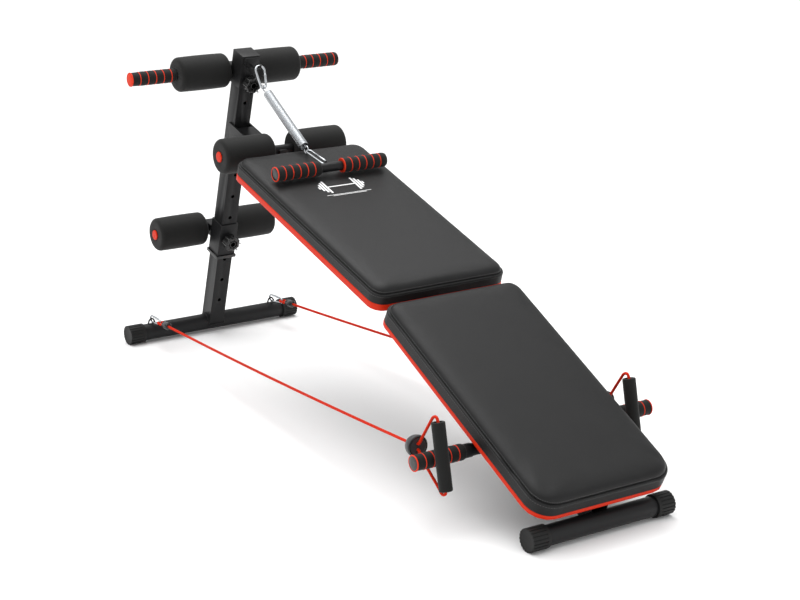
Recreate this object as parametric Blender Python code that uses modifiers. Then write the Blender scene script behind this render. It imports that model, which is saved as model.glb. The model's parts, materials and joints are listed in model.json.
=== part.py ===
"""Decline sit up bench with foam rollers, spring pull bar and two resistance ropes.

Metres, +Z up.  +X runs along the bench from the high end (upright) to the low
end, +Y is the user's side to the right of a viewer who looks along +X.
The upright, the sleeves and the upper pad are placed in a leaning frame whose
local Z runs up the upright and whose local X runs down along the upper pad.
"""
import math

import bmesh
import bpy
from mathutils import Matrix, Vector

# ---------------------------------------------------------------- dimensions
GAP = 0.0003                     # air between touching pieces
SIDES = (("left", -1), ("right", 1))

LEAN = math.radians(16.2)        # upright from vertical, upper pad from level
BEND = math.radians(9.7)         # lower pad against upper pad
TUBE_R = 0.0200                  # round base tubes
TUBE_WALL = 0.0018
CAP_R = 0.0232                   # across the flats of the rubber end caps
CAP_LENGTH = 0.040
CAP_END = 0.0035
REAR_BASE_X = -0.7650
REAR_HALF = 0.2330
FRONT_BASE_X = 0.7552
FRONT_HALF = 0.1695

BOX_HALF = 0.0200                # square upright and main beam
BOX_WALL = 0.0020
UPRIGHT_TOP = 0.7235
HOLE_R = 0.0045
HOLE_PITCH = 0.058
HOLES = [0.071 + HOLE_PITCH * k for k in range(7)] + [0.609, 0.667]

ROD_R = 0.0100                   # tubes that carry the foam
ROD_WALL = 0.0018
FOAM_R = 0.0400
FOAM_BORE = 0.0104
FOAM_ROUND = 0.0090
FOAM_INNER = 0.0300
FOAM_OUTER = 0.1570
FLANGE_R = 0.0240
FLANGE = (0.0242, 0.0285)
PLUG_R = 0.0120
PLUG_HEAD = 0.0030
PLUG_STEM_R = 0.0078
PLUG_STEM = 0.0120

SLEEVE_HALF = 0.0232
SLEEVE_BORE = 0.0204
SADDLE = 0.0145                  # half height of the block that holds a roller tube
PIN_R = 0.0050
KNOB_R = 0.0190
KNOB_LOBE = 0.0016
KNOB_LOBES = 7
KNOB_BACK = 0.0305
KNOB_FRONT = 0.0500
NUT_R = 0.0095
NUT_FRONT = 0.0300

ANKLE_S = 0.2399                 # height of the ankle rollers along the upright
ANKLE_N = -0.0536
ANKLE_PIN_S = 0.2450
ANKLE_SLEEVE = (0.2010, 0.2850)
BUSH = (0.1930, 0.2007)
BUSH_HALF = 0.0262
TOP_S = 0.6698                   # height of the top bar along the upright
TOP_N = -0.0393
TOP_PIN_S = 0.6670
TOP_SLEEVE = (0.6500, 0.7300)
TOP_PLATE = 0.0030
TOP_GRIP = (0.1620, 0.2740)
GRIP_R = 0.0162
GRIP_END = 0.0040

KNEE_S = 0.5771
KNEE_N = 0.1979

BEAM_S = 0.5330                  # centre line of the main beam under the upper pad
BEAM_START_N = 0.0345
SEAT_HALF = 0.0200               # welded seats between beam and boards, along the beam
SEAT_WIDTH = 0.0330
END_SEAT_WIDTH = 0.0370
SEAT_PLATE = 0.0040
WEB_HALF = 0.0120
SINK = 0.0015                    # how far a welded piece runs into its neighbour
PAD_S = 0.6090                   # seam plane of the upper pad
PAD_N = 0.2688
PAD_LENGTH = 0.6064
PAD_HALF = 0.1640
PAD_CORNER = 0.0300
PAD_SIDE = 0.0275                # vinyl side below the seam
PAD_CROWN = 0.0113
BOARD = 0.0150
LOW_PAD_N = 0.8961               # upper edge of the lower pad
LOW_PAD_S = 0.6023
LOW_PAD_LENGTH = 0.5844
LOW_PAD_CORNER = 0.0480          # at its lower end
LOW_PAD_SIDE = 0.0320
LOW_BOARD = 0.0105
LOW_BEAM_DROP = 0.0740

PLATE = 0.0040                   # bracket plates beside the upright
PLATE_FOOT_S = 0.4660
PLATE_TOP_S = 0.5525
PLATE_FRONT_N = 0.1100
BOLT_N = 0.0090
BOLTS = (("upper", 0.5060), ("lower", 0.4820))
BOLT_R = 0.0040
BOLT_HEAD_R = 0.0075
BOLT_HEAD = 0.0050

GRIP_BAR_X = 0.5541              # front hand grips
GRIP_BAR_Z = 0.1330
GRIP_BAR_R = 0.0125
COLLAR = (0.1550, 0.1712)
COLLAR_R = 0.0140
FRONT_GRIP = (0.1715, 0.2850)

HOOK = Vector((-0.5060, 0.0, 0.7000))       # where the carabiner hangs
CARABINER_FOOT = Vector((-0.4850, 0.0, 0.6520))
CARABINER_WIRE = 0.0026
SPRING_TOP = Vector((-0.4691, 0.0, 0.6429))
SPRING_END = Vector((-0.3075, 0.0, 0.5470))
SPRING_R = 0.0086
SPRING_WALL = 0.0020
SPRING_LOOP_R = 0.0062
SPRING_WIRE = 0.0013
RING_R = 0.0090
RING_WIRE = 0.0016
PULL_BAR = Vector((-0.1964, 0.0, 0.5215))
PULL_BAR_R = 0.0105
PULL_GRIP = (0.0285, 0.1400)
BAR_EYE_R = 0.0065
BAR_EYE_WIRE = 0.0020
CLIP_WIRE = 0.0022
CLIP_HALF = 0.0070

EYE_Y = 0.1680                   # wire eyes on the rear base tube
EYE_HALF = 0.0090
EYE_RISE = 0.0140
EYE_WIRE = 0.0020
ROPE_R = 0.0030
LINK_WIRE = 0.0022
LINK_HALF = 0.0080
LINK_LENGTH = 0.0580
ROPE_LOOP = 0.0300
LOOP_R = 0.0055
LOOP_FOOT = 0.0038
CLAMP = 0.0260
CLAMP_R = 0.0085
CLAMP_EDGE = 0.0020
CLAMP_SINK = 0.0040
STOPPER_R = 0.0222
STOPPER_DOME = 0.0250
STOPPER_RIM = 0.0060
STOPPER_DISH = 0.0040
STRAND_LIFT = 0.0070             # of the handle's two strands from the stopper's middle
STOPPER_X = 0.5000
STOPPER_Z = 0.1410
ROPE_SAG = 0.0050
ROPE_POINTS = 56
HANDLE_Y = {"left": -0.2400, "right": 0.2200}
HANDLE_X = 0.5832
HANDLE_Z = 0.1465
HANDLE_TILT = math.radians(-12.4)
HANDLE_LENGTH = 0.1320
HANDLE_R = 0.0135
HANDLE_BORE = 0.0085

# ---------------------------------------------------------------- scene set-up
for old in list(bpy.data.objects):
    bpy.data.objects.remove(old)
parts = bpy.data.collections.new("sit_up_bench")
tools = bpy.data.collections.new("cutters")
bpy.context.scene.collection.children.link(parts)
bpy.context.scene.collection.children.link(tools)


def material(name, colour, roughness, metallic=0.0):
    mat = bpy.data.materials.new(name)
    mat.use_nodes = True
    shader = mat.node_tree.nodes["Principled BSDF"]
    shader.inputs["Base Color"].default_value = (*colour, 1.0)
    shader.inputs["Roughness"].default_value = roughness
    shader.inputs["Metallic"].default_value = metallic
    mat.diffuse_color = (*colour, 1.0)
    return mat


def powder_coat(name):
    return material(name, (0.035, 0.035, 0.037), 0.45)


def black_foam(name):
    return material(name, (0.022, 0.022, 0.021), 0.85)


def bright_metal(name):
    return material(name, (0.78, 0.79, 0.80), 0.20, 1.0)


def black_plastic(name):
    return material(name, (0.020, 0.020, 0.021), 0.40)


def red_plastic(name):
    return material(name, (0.72, 0.06, 0.03), 0.40)


def place(obj, parent=None, at=(0, 0, 0), turn=(0, 0, 0), coat=None, group=parts):
    group.objects.link(obj)
    obj.parent = parent
    obj.location = at
    obj.rotation_euler = turn
    if coat:
        obj.data.materials.append(coat(obj.name))
    if group is tools:
        obj.hide_render = True
        obj.display_type = "WIRE"
    return obj


def empty(name, parent, at, turn):
    return place(bpy.data.objects.new(name, None), parent, at, turn)


def mesh_object(name, bm):
    mesh = bpy.data.meshes.new(name)
    bmesh.ops.recalc_face_normals(bm, faces=bm.faces)
    bm.to_mesh(mesh)
    bm.free()
    return bpy.data.objects.new(name, mesh)


def block(name, low, high):
    """Box between two corners."""
    low, high = Vector(low), Vector(high)
    bm = bmesh.new()
    bmesh.ops.create_cube(bm, size=1.0)
    bmesh.ops.scale(bm, vec=high - low, verts=bm.verts)
    bmesh.ops.translate(bm, vec=(low + high) / 2, verts=bm.verts)
    return mesh_object(name, bm)


def rods(name, axis, radius, low, high, centres, segments=24):
    """Cylinders along one axis from low to high, one through each centre."""
    turn = {"X": Matrix.Rotation(math.pi / 2, 4, "Y"),
            "Y": Matrix.Rotation(-math.pi / 2, 4, "X")}[axis]
    along = Vector((1, 0, 0)) if axis == "X" else Vector((0, 1, 0))
    bm = bmesh.new()
    for centre in centres:
        spot = Matrix.Translation(Vector(centre) + along * (low + high) / 2)
        bmesh.ops.create_cone(bm, cap_ends=True, segments=segments, radius1=radius,
                              radius2=radius, depth=high - low, matrix=spot @ turn)
    return mesh_object(name, bm)


def turned(name, profile, steps=24, closed=False):
    """Solid of revolution about local Z; the profile runs down its outer side."""
    mesh = bpy.data.meshes.new(name)
    edges = [(i, i + 1) for i in range(len(profile) - 1)]
    if closed:
        edges.append((len(profile) - 1, 0))
    mesh.from_pydata([(r, 0, z) for r, z in profile], edges, [])
    obj = bpy.data.objects.new(name, mesh)
    screw = obj.modifiers.new("turn", "SCREW")
    screw.axis = "Z"
    screw.angle = 2 * math.pi
    screw.steps = steps
    screw.render_steps = steps
    screw.use_merge_vertices = True
    screw.merge_threshold = 0.00005
    screw.use_smooth_shade = False
    return obj


def flat_shape(name, outline, low, high):
    """Outline in the X-Z plane, given thickness along Y from low to high."""
    bm = bmesh.new()
    face = bm.faces.new([bm.verts.new((x, low, z)) for x, z in outline])
    grown = bmesh.ops.extrude_face_region(bm, geom=[face])["geom"]
    moved = [v for v in grown if isinstance(v, bmesh.types.BMVert)]
    bmesh.ops.translate(bm, vec=(0, high - low, 0), verts=moved)
    return mesh_object(name, bm)


def wire(name, points, radius, closed=False, resolution=2):
    curve = bpy.data.curves.new(name, "CURVE")
    curve.dimensions = "3D"
    curve.bevel_depth = radius
    curve.bevel_resolution = resolution
    curve.use_fill_caps = not closed
    spline = curve.splines.new("POLY")
    spline.points.add(len(points) - 1)
    for spot, point in zip(spline.points, points):
        spot.co = (*point, 1.0)
    spline.use_cyclic_u = closed
    return bpy.data.objects.new(name, curve)


def as_mesh(obj, group=tools):
    """Mesh copy of a placed curve, with its caps welded; the curve is removed."""
    bpy.context.view_layer.update()
    graph = bpy.context.evaluated_depsgraph_get()
    mesh = bpy.data.meshes.new_from_object(obj.evaluated_get(graph))
    bm = bmesh.new()
    bm.from_mesh(mesh)
    bmesh.ops.remove_doubles(bm, verts=bm.verts, dist=0.00005)
    bmesh.ops.recalc_face_normals(bm, faces=bm.faces)
    bm.to_mesh(mesh)
    bm.free()
    solid = bpy.data.objects.new(obj.name + "_solid", mesh)
    matrix = obj.matrix_world.copy()
    bpy.data.objects.remove(obj)
    place(solid, group=group)
    solid.matrix_world = matrix
    return solid


def combine(obj, tool, operation="DIFFERENCE"):
    step = obj.modifiers.new(operation.lower(), "BOOLEAN")
    step.operation = operation
    step.solver = "EXACT"
    step.object = tool


def along_y(side=1):
    """Turn that lays local Z along +Y or -Y."""
    return (-side * math.pi / 2, 0, 0)


def tapered_loop(length, half_top, half_foot):
    """Link outline from the origin down: two arcs joined by straight limbs; local Y is its width."""
    steps = [math.pi * k / 6 for k in range(7)]
    foot = half_foot - length
    points = [Vector((0, half_top * math.cos(a), half_top * math.sin(a) - half_top)) for a in steps]
    points += [Vector((0, -half_foot * math.cos(a), foot - half_foot * math.sin(a))) for a in steps]
    return points


# ---------------------------------------------------------------- frames
lean = empty("lean_frame", None, (REAR_BASE_X, 0, CAP_R), (0, LEAN, 0))
low = empty("low_pad_frame", lean, (LOW_PAD_N, 0, LOW_PAD_S), (0, BEND, 0))
up = Vector((math.sin(LEAN), 0, math.cos(LEAN)))
out = Vector((math.cos(LEAN), 0, -math.sin(LEAN)))
base = Vector((REAR_BASE_X, 0, CAP_R))


# ---------------------------------------------------------------- base tubes and caps
def base_tube(name, x, half):
    end = half - CAP_END
    inner = TUBE_R - TUBE_WALL
    tube = turned(name, [(TUBE_R, end), (TUBE_R, -end), (inner, -end), (inner, end)], 32, True)
    return place(tube, None, (x, 0, CAP_R), along_y(), powder_coat)


def base_cap(name, x, half, side):
    """Rubber cup over the tube's end, with one flat turned to the floor."""
    facets = 24
    skin = CAP_R / math.cos(math.pi / facets)
    bore = (TUBE_R + GAP) / math.cos(math.pi / 32)
    mouth = half - CAP_LENGTH
    edge = 0.004
    profile = [(0, half), (skin - edge, half), (skin, half - edge), (skin, mouth), (bore, mouth),
               (bore, half - CAP_END + GAP), (0, half - CAP_END + GAP)]
    cap = turned(name, profile, facets)
    twist = Matrix.Rotation(math.pi / facets, 4, "Z")
    cap.data.transform(twist)
    return place(cap, None, (x, 0, CAP_R), along_y(side), lambda n: material(n, (0.03, 0.03, 0.03), 0.6))


def rope_eye(side):
    """Bent wire welded on the rear base tube."""
    foot = CAP_R + TUBE_R - 0.003
    height = EYE_RISE + 0.003 - EYE_WIRE
    points = [(REAR_BASE_X, side * EYE_Y - EYE_HALF * math.cos(math.pi * k / 10),
               foot + height * math.sin(math.pi * k / 10)) for k in range(11)]
    return as_mesh(place(wire("rope_eye", points, EYE_WIRE), None, group=tools))


rear_tube = base_tube("rear_base_tube", REAR_BASE_X, REAR_HALF)
base_tube("front_base_tube", FRONT_BASE_X, FRONT_HALF)
for label, side in SIDES:
    base_cap("rear_base_cap_" + label, REAR_BASE_X, REAR_HALF, side)
    base_cap("front_base_cap_" + label, FRONT_BASE_X, FRONT_HALF, side)
    combine(rear_tube, rope_eye(side), "UNION")


# ---------------------------------------------------------------- upright and its bracket
def square_tube(name, low_end, high_end, half, wall):
    tube = block(name, (-half, -half, low_end), (half, half, high_end))
    bore = block(name + "_bore", (wall - half, wall - half, low_end - 0.01),
                 (half - wall, half - wall, high_end + 0.01))
    return tube, bore


def bolt_axes(radius):
    return rods("bolt_bores", "Y", radius, -0.06, 0.06, [(BOLT_N, 0, s) for _, s in BOLTS])


upright, bore = square_tube("upright_tube", 0.0, UPRIGHT_TOP, BOX_HALF, BOX_WALL)
place(upright, lean, coat=powder_coat)
combine(upright, place(bore, lean, group=tools))
combine(upright, place(rods("pin_holes", "X", HOLE_R, BOX_HALF - 0.006, BOX_HALF + 0.006,
                            [(0, 0, s) for s in HOLES], 12), lean, group=tools))
combine(upright, place(rods("rear_cope", "Y", TUBE_R + GAP, -0.06, 0.06, [(0, 0, 0)], 32),
                       lean, group=tools))
bores = place(bolt_axes(BOLT_R + GAP), lean, group=tools)
combine(upright, bores)


def bracket_plate(label, side):
    """Gusset on one side of the upright that carries the main beam's end."""
    beam_foot = BEAM_S - BOX_HALF
    outline = [(-0.001, PLATE_TOP_S), (-0.001, PLATE_FOOT_S), (0.018, PLATE_FOOT_S),
               (0.040, beam_foot), (PLATE_FRONT_N, beam_foot), (PLATE_FRONT_N, PLATE_TOP_S)]
    inner = BOX_HALF + GAP
    near, far = (inner, inner + PLATE) if side > 0 else (-inner - PLATE, -inner)
    plate = place(flat_shape("bracket_plate_" + label, outline, near, far), lean, coat=powder_coat)
    combine(plate, bores)


def bracket_bolt(label, s):
    """Through bolt with its nut, one turned solid across both plates."""
    grip = BOX_HALF + PLATE + 2 * GAP
    end = grip + BOLT_HEAD
    tip = end + 0.004
    profile = [(0, tip), (BOLT_R, tip), (BOLT_R, end), (BOLT_HEAD_R, end), (BOLT_HEAD_R, grip),
               (BOLT_R, grip), (BOLT_R, -grip), (BOLT_HEAD_R, -grip), (BOLT_HEAD_R, -end), (0, -end)]
    place(turned("bracket_bolt_" + label, profile, 12), lean, (BOLT_N, 0, s), along_y(), bright_metal)


for label, side in SIDES:
    bracket_plate(label, side)
for label, s in BOLTS:
    bracket_bolt(label, s)


# ---------------------------------------------------------------- main beam
def beam_outline(half, start, stretch):
    """Bent strip of the given half height: upper run level, lower run turned by BEND."""
    drop = LOW_BEAM_DROP / math.cos(BEND)
    slope = math.tan(BEND)

    def corner(offset):
        s = BEAM_S + offset
        lower = LOW_PAD_S - drop + offset / math.cos(BEND)
        return (LOW_PAD_N + (lower - s) / slope, s)

    def end(offset):
        n = LOW_PAD_N + (LOW_PAD_LENGTH - 0.020 + stretch) * math.cos(BEND)
        lower = LOW_PAD_S - drop + offset / math.cos(BEND)
        return (n, lower - slope * (n - LOW_PAD_N))

    return [(start, BEAM_S + half), (start, BEAM_S - half), corner(-half), end(-half), end(half),
            corner(half)]


beam = place(flat_shape("main_beam", beam_outline(BOX_HALF, BEAM_START_N, 0), -BOX_HALF, BOX_HALF),
             lean, coat=powder_coat)
inner = BOX_HALF - BOX_WALL
combine(beam, place(flat_shape("beam_bore", beam_outline(inner, BEAM_START_N - 0.01, 0.01), -inner, inner),
                    lean, group=tools))

PAD_FOOT = PAD_SIDE + GAP + BOARD + GAP      # underside of the board below the seam plane


def pad_bracket(frame, centre, seam, beam_top, half_width=SEAT_WIDTH):
    """Welded seat between beam and board: a web with a plate on it."""
    top = seam - PAD_FOOT - GAP
    inside = BOX_HALF - BOX_WALL
    web = block("pad_bracket_web", (centre - WEB_HALF, -inside, beam_top - SINK),
                (centre + WEB_HALF, inside, top))
    plate = block("pad_bracket_plate", (centre - SEAT_HALF, -half_width, top - SEAT_PLATE),
                  (centre + SEAT_HALF, half_width, top))
    combine(beam, place(web, frame, group=tools), "UNION")
    combine(beam, place(plate, frame, group=tools), "UNION")


beam_top_s = BEAM_S + BOX_HALF
low_beam_top = -LOW_BEAM_DROP + BOX_HALF
pad_bracket(lean, PAD_N + 0.070, PAD_S, beam_top_s)
pad_bracket(lean, PAD_N + PAD_LENGTH - 0.090, PAD_S, beam_top_s)
pad_bracket(low, 0.090, 0, low_beam_top)
pad_bracket(low, LOW_PAD_LENGTH - 0.045, 0, low_beam_top, END_SEAT_WIDTH)
saddle = block("knee_saddle", (KNEE_N - 0.013, -0.009, beam_top_s - SINK),
               (KNEE_N + 0.013, 0.009, KNEE_S + 0.004))
combine(beam, place(saddle, lean, group=tools), "UNION")
combine(beam, place(rods("knee_bore", "Y", ROD_R + GAP, -0.03, 0.03, [(KNEE_N, 0, KNEE_S)]),
                    lean, group=tools))
combine(beam, place(rods("front_cope", "Y", TUBE_R + GAP, -0.06, 0.06, [(FRONT_BASE_X, 0, CAP_R)], 32),
                    group=tools))
combine(beam, place(rods("grip_bar_bore", "Y", GRIP_BAR_R + GAP, -0.06, 0.06, [(GRIP_BAR_X, 0, GRIP_BAR_Z)]),
                    group=tools))


# ---------------------------------------------------------------- pads
def rounded_plan(length, half, far_corner, inset=0.0):
    """Plan outline of a pad, with arcs at its four corners."""
    points = []
    for end, side, start, corner in ((1, 1, 0, far_corner), (-1, 1, 90, PAD_CORNER),
                                     (-1, -1, 180, PAD_CORNER), (1, -1, 270, far_corner)):
        radius = corner - inset * 0.5
        cx = length / 2 + end * (length / 2 - inset - radius)
        cy = side * (half - inset - radius)
        for k in range(5):
            angle = math.radians(start + 22.5 * k)
            points.append((cx + radius * math.cos(angle), cy + radius * math.sin(angle)))
    return points


def layered(name, layers):
    """Solid through plan outlines stacked along Z; each layer is (height, outline)."""
    bm = bmesh.new()
    rings = [[bm.verts.new((x, y, z)) for x, y in outline] for z, outline in layers]
    bm.faces.new(rings[0])
    bm.faces.new(rings[-1])
    for below, above in zip(rings, rings[1:]):
        for k in range(len(below)):
            after = (k + 1) % len(below)
            bm.faces.new((below[k], below[after], above[after], above[k]))
    return mesh_object(name, bm)


def pad(name, frame, at, length, far_corner=PAD_CORNER, side=PAD_SIDE, board=BOARD):
    plan = [(0.0, -side), (0.0, -0.004), (0.004, 0.0), (0.022, 0.0060), (0.045, 0.0092),
            (0.080, PAD_CROWN)]
    layers = [(z, rounded_plan(length, PAD_HALF, far_corner, inset)) for inset, z in plan]
    place(layered(name, layers), frame, at, coat=lambda n: material(n, (0.045, 0.045, 0.046), 0.5))
    top = -side - GAP
    plan = [(z, rounded_plan(length, PAD_HALF, far_corner)) for z in (top - board, top)]
    place(layered(name + "_board", plan), frame, at, coat=red_plastic)


pad("upper_pad", lean, (PAD_N, 0, PAD_S), PAD_LENGTH)
pad("lower_pad", low, (0, 0, 0), LOW_PAD_LENGTH, LOW_PAD_CORNER, LOW_PAD_SIDE, LOW_BOARD)


# ---------------------------------------------------------------- rollers and their tubes
def foam_roller(name, parent, n, s, side):
    """Foam sleeve with rounded ends that turns on its tube; origin on the axis."""
    top, foot, edge = FOAM_OUTER, FOAM_INNER, FOAM_ROUND
    arc = [math.radians(a) for a in (0, 30, 60, 90)]
    profile = [(FOAM_R - edge + edge * math.sin(a), top - edge + edge * math.cos(a)) for a in arc]
    profile += [(FOAM_R - edge + edge * math.cos(a), foot + edge - edge * math.sin(a)) for a in arc]
    profile += [(FOAM_BORE, foot), (FOAM_BORE, top)]
    place(turned(name, profile, 24, True), parent, (n, 0, s), along_y(side), black_foam)


def rod(name, half, flanges=False, end_bore=True):
    """Tube under the foam, with a welded disc inside each roller when flanged."""
    bore = ROD_R - ROD_WALL
    if not flanges:
        profile = [(ROD_R, half), (ROD_R, -half), (bore, -half), (bore, half)]
        return turned(name, profile, 24, True)
    near, far = FLANGE
    profile = [(ROD_R, half), (ROD_R, far), (FLANGE_R, far), (FLANGE_R, near), (ROD_R, near),
               (ROD_R, -near), (FLANGE_R, -near), (FLANGE_R, -far), (ROD_R, -far), (ROD_R, -half),
               (bore, -half), (bore, half)]
    return turned(name, profile, 24, True)


def rod_plug(name, parent, n, s, side):
    """Red plug pushed into the end of a roller's tube."""
    back = FOAM_OUTER + GAP
    front = back + PLUG_HEAD
    profile = [(0, front), (PLUG_R - 0.001, front), (PLUG_R, front - 0.001), (PLUG_R, back),
               (PLUG_STEM_R, back), (PLUG_STEM_R, back - PLUG_STEM), (0, back - PLUG_STEM)]
    place(turned(name, profile), parent, (n, 0, s), along_y(side), red_plastic)


def grip(name, parent, at, side, span, radius, bore):
    """Ribbed foam hand grip with a closed outer end."""
    near, far = span
    floor = far - GRIP_END
    profile = [(0, far), (radius - 0.0015, far), (radius, far - 0.0015), (radius, near), (bore, near),
               (bore, floor), (0, floor)]
    place(turned(name, profile), parent, at, along_y(side), black_foam)


place(rod("knee_roller_tube", FOAM_OUTER), lean, (KNEE_N, 0, KNEE_S), along_y(), powder_coat)
place(rod("ankle_roller_tube", FOAM_OUTER, True), lean, (ANKLE_N, 0, ANKLE_S), along_y(), powder_coat)
place(rod("top_bar", TOP_GRIP[1] - GRIP_END - GAP, True), lean, (TOP_N, 0, TOP_S), along_y(), powder_coat)
for label, side in SIDES:
    foam_roller("knee_roller_" + label, lean, KNEE_N, KNEE_S, side)
    foam_roller("ankle_roller_" + label, lean, ANKLE_N, ANKLE_S, side)
    foam_roller("top_roller_" + label, lean, TOP_N, TOP_S, side)
    rod_plug("knee_plug_" + label, lean, KNEE_N, KNEE_S, side)
    rod_plug("ankle_plug_" + label, lean, ANKLE_N, ANKLE_S, side)
    grip("top_grip_" + label, lean, (TOP_N, 0, TOP_S), side, TOP_GRIP, GRIP_R, ROD_R + GAP)


# ---------------------------------------------------------------- sleeves
def sleeve(name, span, rod_n, rod_s, pin_s, closed_top):
    """Square sleeve on the upright, with a saddle for the roller tube behind and a nut in front."""
    foot, top = span
    tube = place(block(name, (-SLEEVE_HALF, -SLEEVE_HALF, foot), (SLEEVE_HALF, SLEEVE_HALF, top)),
                 lean, coat=powder_coat)
    saddle = block(name + "_saddle", (rod_n - SADDLE, -0.016, rod_s - SADDLE),
                   (0.001 - SLEEVE_HALF, 0.016, rod_s + SADDLE))
    combine(tube, place(saddle, lean, group=tools), "UNION")
    nut = rods(name + "_nut", "X", NUT_R, SLEEVE_HALF - 0.001, NUT_FRONT, [(0, 0, pin_s)], 16)
    combine(tube, place(nut, lean, group=tools), "UNION")
    ceiling = top - TOP_PLATE if closed_top else top + 0.01
    bore = block(name + "_bore", (-SLEEVE_BORE, -SLEEVE_BORE, foot - 0.01),
                 (SLEEVE_BORE, SLEEVE_BORE, ceiling))
    combine(tube, place(bore, lean, group=tools))
    holes = rods(name + "_rod_bore", "Y", ROD_R + GAP, -0.03, 0.03, [(rod_n, 0, rod_s)])
    combine(tube, place(holes, lean, group=tools))
    pin = rods(name + "_pin_bore", "X", PIN_R + GAP, 0.015, 0.035, [(0, 0, pin_s)], 16)
    combine(tube, place(pin, lean, group=tools))
    return tube


def knob(name, pin_s):
    """Lobed knob with its screw; the tip ends just clear of the upright's face."""
    count = KNOB_LOBES * 6
    bm = bmesh.new()
    outline = []
    for k in range(count):
        angle = 2 * math.pi * k / count
        radius = KNOB_R + KNOB_LOBE * math.cos(KNOB_LOBES * angle)
        outline.append(bm.verts.new((KNOB_BACK, radius * math.cos(angle), radius * math.sin(angle))))
    face = bm.faces.new(outline)
    grown = bmesh.ops.extrude_face_region(bm, geom=[face])["geom"]
    moved = [v for v in grown if isinstance(v, bmesh.types.BMVert)]
    bmesh.ops.translate(bm, vec=(KNOB_FRONT - KNOB_BACK, 0, 0), verts=moved)
    head = place(mesh_object(name, bm), lean, (0, 0, pin_s), coat=black_plastic)
    tip = BOX_HALF + GAP
    screw = rods(name + "_screw", "X", PIN_R, tip, KNOB_BACK + 0.002, [(0, 0, pin_s)], 12)
    combine(head, place(screw, lean, group=tools), "UNION")
    recess = rods(name + "_recess", "X", 0.0060, KNOB_FRONT - 0.004, KNOB_FRONT + 0.004, [(0, 0, pin_s)], 6)
    combine(head, place(recess, lean, group=tools))


sleeve("ankle_sleeve", ANKLE_SLEEVE, ANKLE_N, ANKLE_S, ANKLE_PIN_S, False)
sleeve("top_sleeve", TOP_SLEEVE, TOP_N, TOP_S, TOP_PIN_S, True)
knob("ankle_knob", ANKLE_PIN_S)
knob("top_knob", TOP_PIN_S)
bush = place(block("ankle_sleeve_bush", (-BUSH_HALF, -BUSH_HALF, BUSH[0]), (BUSH_HALF, BUSH_HALF, BUSH[1])),
             lean, coat=black_plastic)
combine(bush, place(block("bush_bore", (-SLEEVE_BORE, -SLEEVE_BORE, BUSH[0] - 0.01),
                          (SLEEVE_BORE, SLEEVE_BORE, BUSH[1] + 0.01)), lean, group=tools))


# ---------------------------------------------------------------- spring pull bar
def hook_plate():
    """Tapered plate riveted on the top sleeve, with a bent rod hook at its tip."""
    face = SLEEVE_HALF + GAP
    outline = [(-0.0195, 0.7270), (-0.0195, 0.7160), (-0.0060, 0.6990), (0.0060, 0.6990), (0.0195, 0.7160),
               (0.0195, 0.7270)]
    bm = bmesh.new()
    sheet = bm.faces.new([bm.verts.new((face, y, s)) for y, s in outline])
    grown = bmesh.ops.extrude_face_region(bm, geom=[sheet])["geom"]
    moved = [v for v in grown if isinstance(v, bmesh.types.BMVert)]
    bmesh.ops.translate(bm, vec=(0.003, 0, 0), verts=moved)
    plate = place(mesh_object("hook_plate", bm), lean, coat=powder_coat)
    seat = HOOK - base
    n, s = seat.dot(out), seat.dot(up)
    trough = CARABINER_WIRE + 0.0028 + GAP
    path = [(face + 0.0012, 0, s - 0.014), (n - 0.014, 0, s - 0.0125)]
    path += [(n + trough * math.sin(a), 0, s - trough * math.cos(a))
             for a in (math.radians(d) for d in (-35, 0, 35, 70, 95))]
    path.append((n + trough + 0.001, 0, s + 0.006))
    hook = place(wire("hook_rod", path, 0.0026), lean, group=tools)
    combine(plate, as_mesh(hook), "UNION")


def direction_turn(direction):
    """Euler turn that points local Z against a direction in the X-Z plane."""
    return (0, math.atan2(-direction.x, -direction.z), 0)


def carabiner():
    hang = CARABINER_FOOT - HOOK
    loop = tapered_loop(hang.length, 0.0115, 0.0070)
    turn = direction_turn(hang)
    place(wire("spring_carabiner", loop, CARABINER_WIRE, True), None, HOOK, turn, bright_metal)


def pull_spring():
    """Close-wound extension spring as a plain sleeve, with its upper hook loop."""
    axis = SPRING_END - SPRING_TOP
    half = axis.length
    bore = SPRING_R - SPRING_WALL
    profile = [(SPRING_R, 0), (SPRING_R, -half), (bore, -half), (bore, 0)]
    coil = place(turned("pull_spring", profile, 16, True), None, SPRING_TOP, direction_turn(axis),
                 bright_metal)
    way = axis.normalized()
    centre = CARABINER_FOOT + (SPRING_TOP - CARABINER_FOOT).normalized() * 0.0018
    side_way = Vector((way.z, 0, -way.x))
    steps = 12
    loop = [centre + SPRING_LOOP_R * (way * -math.cos(a) + side_way * math.sin(a))
            for a in (math.radians(-150 + 300 * k / steps) for k in range(steps + 1))]
    leg = SPRING_TOP + way * 0.0015 + side_way * (SPRING_R - 0.0010)
    loop.append(leg)
    combine(coil, as_mesh(place(wire("spring_loop", loop, SPRING_WIRE), None, group=tools)), "UNION")


def ring(name, centre, radius, thickness, steps=16):
    angles = [2 * math.pi * k / steps for k in range(steps)]
    points = [centre + radius * Vector((math.cos(a), 0, math.sin(a))) for a in angles]
    return wire(name, points, thickness, True)


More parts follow.
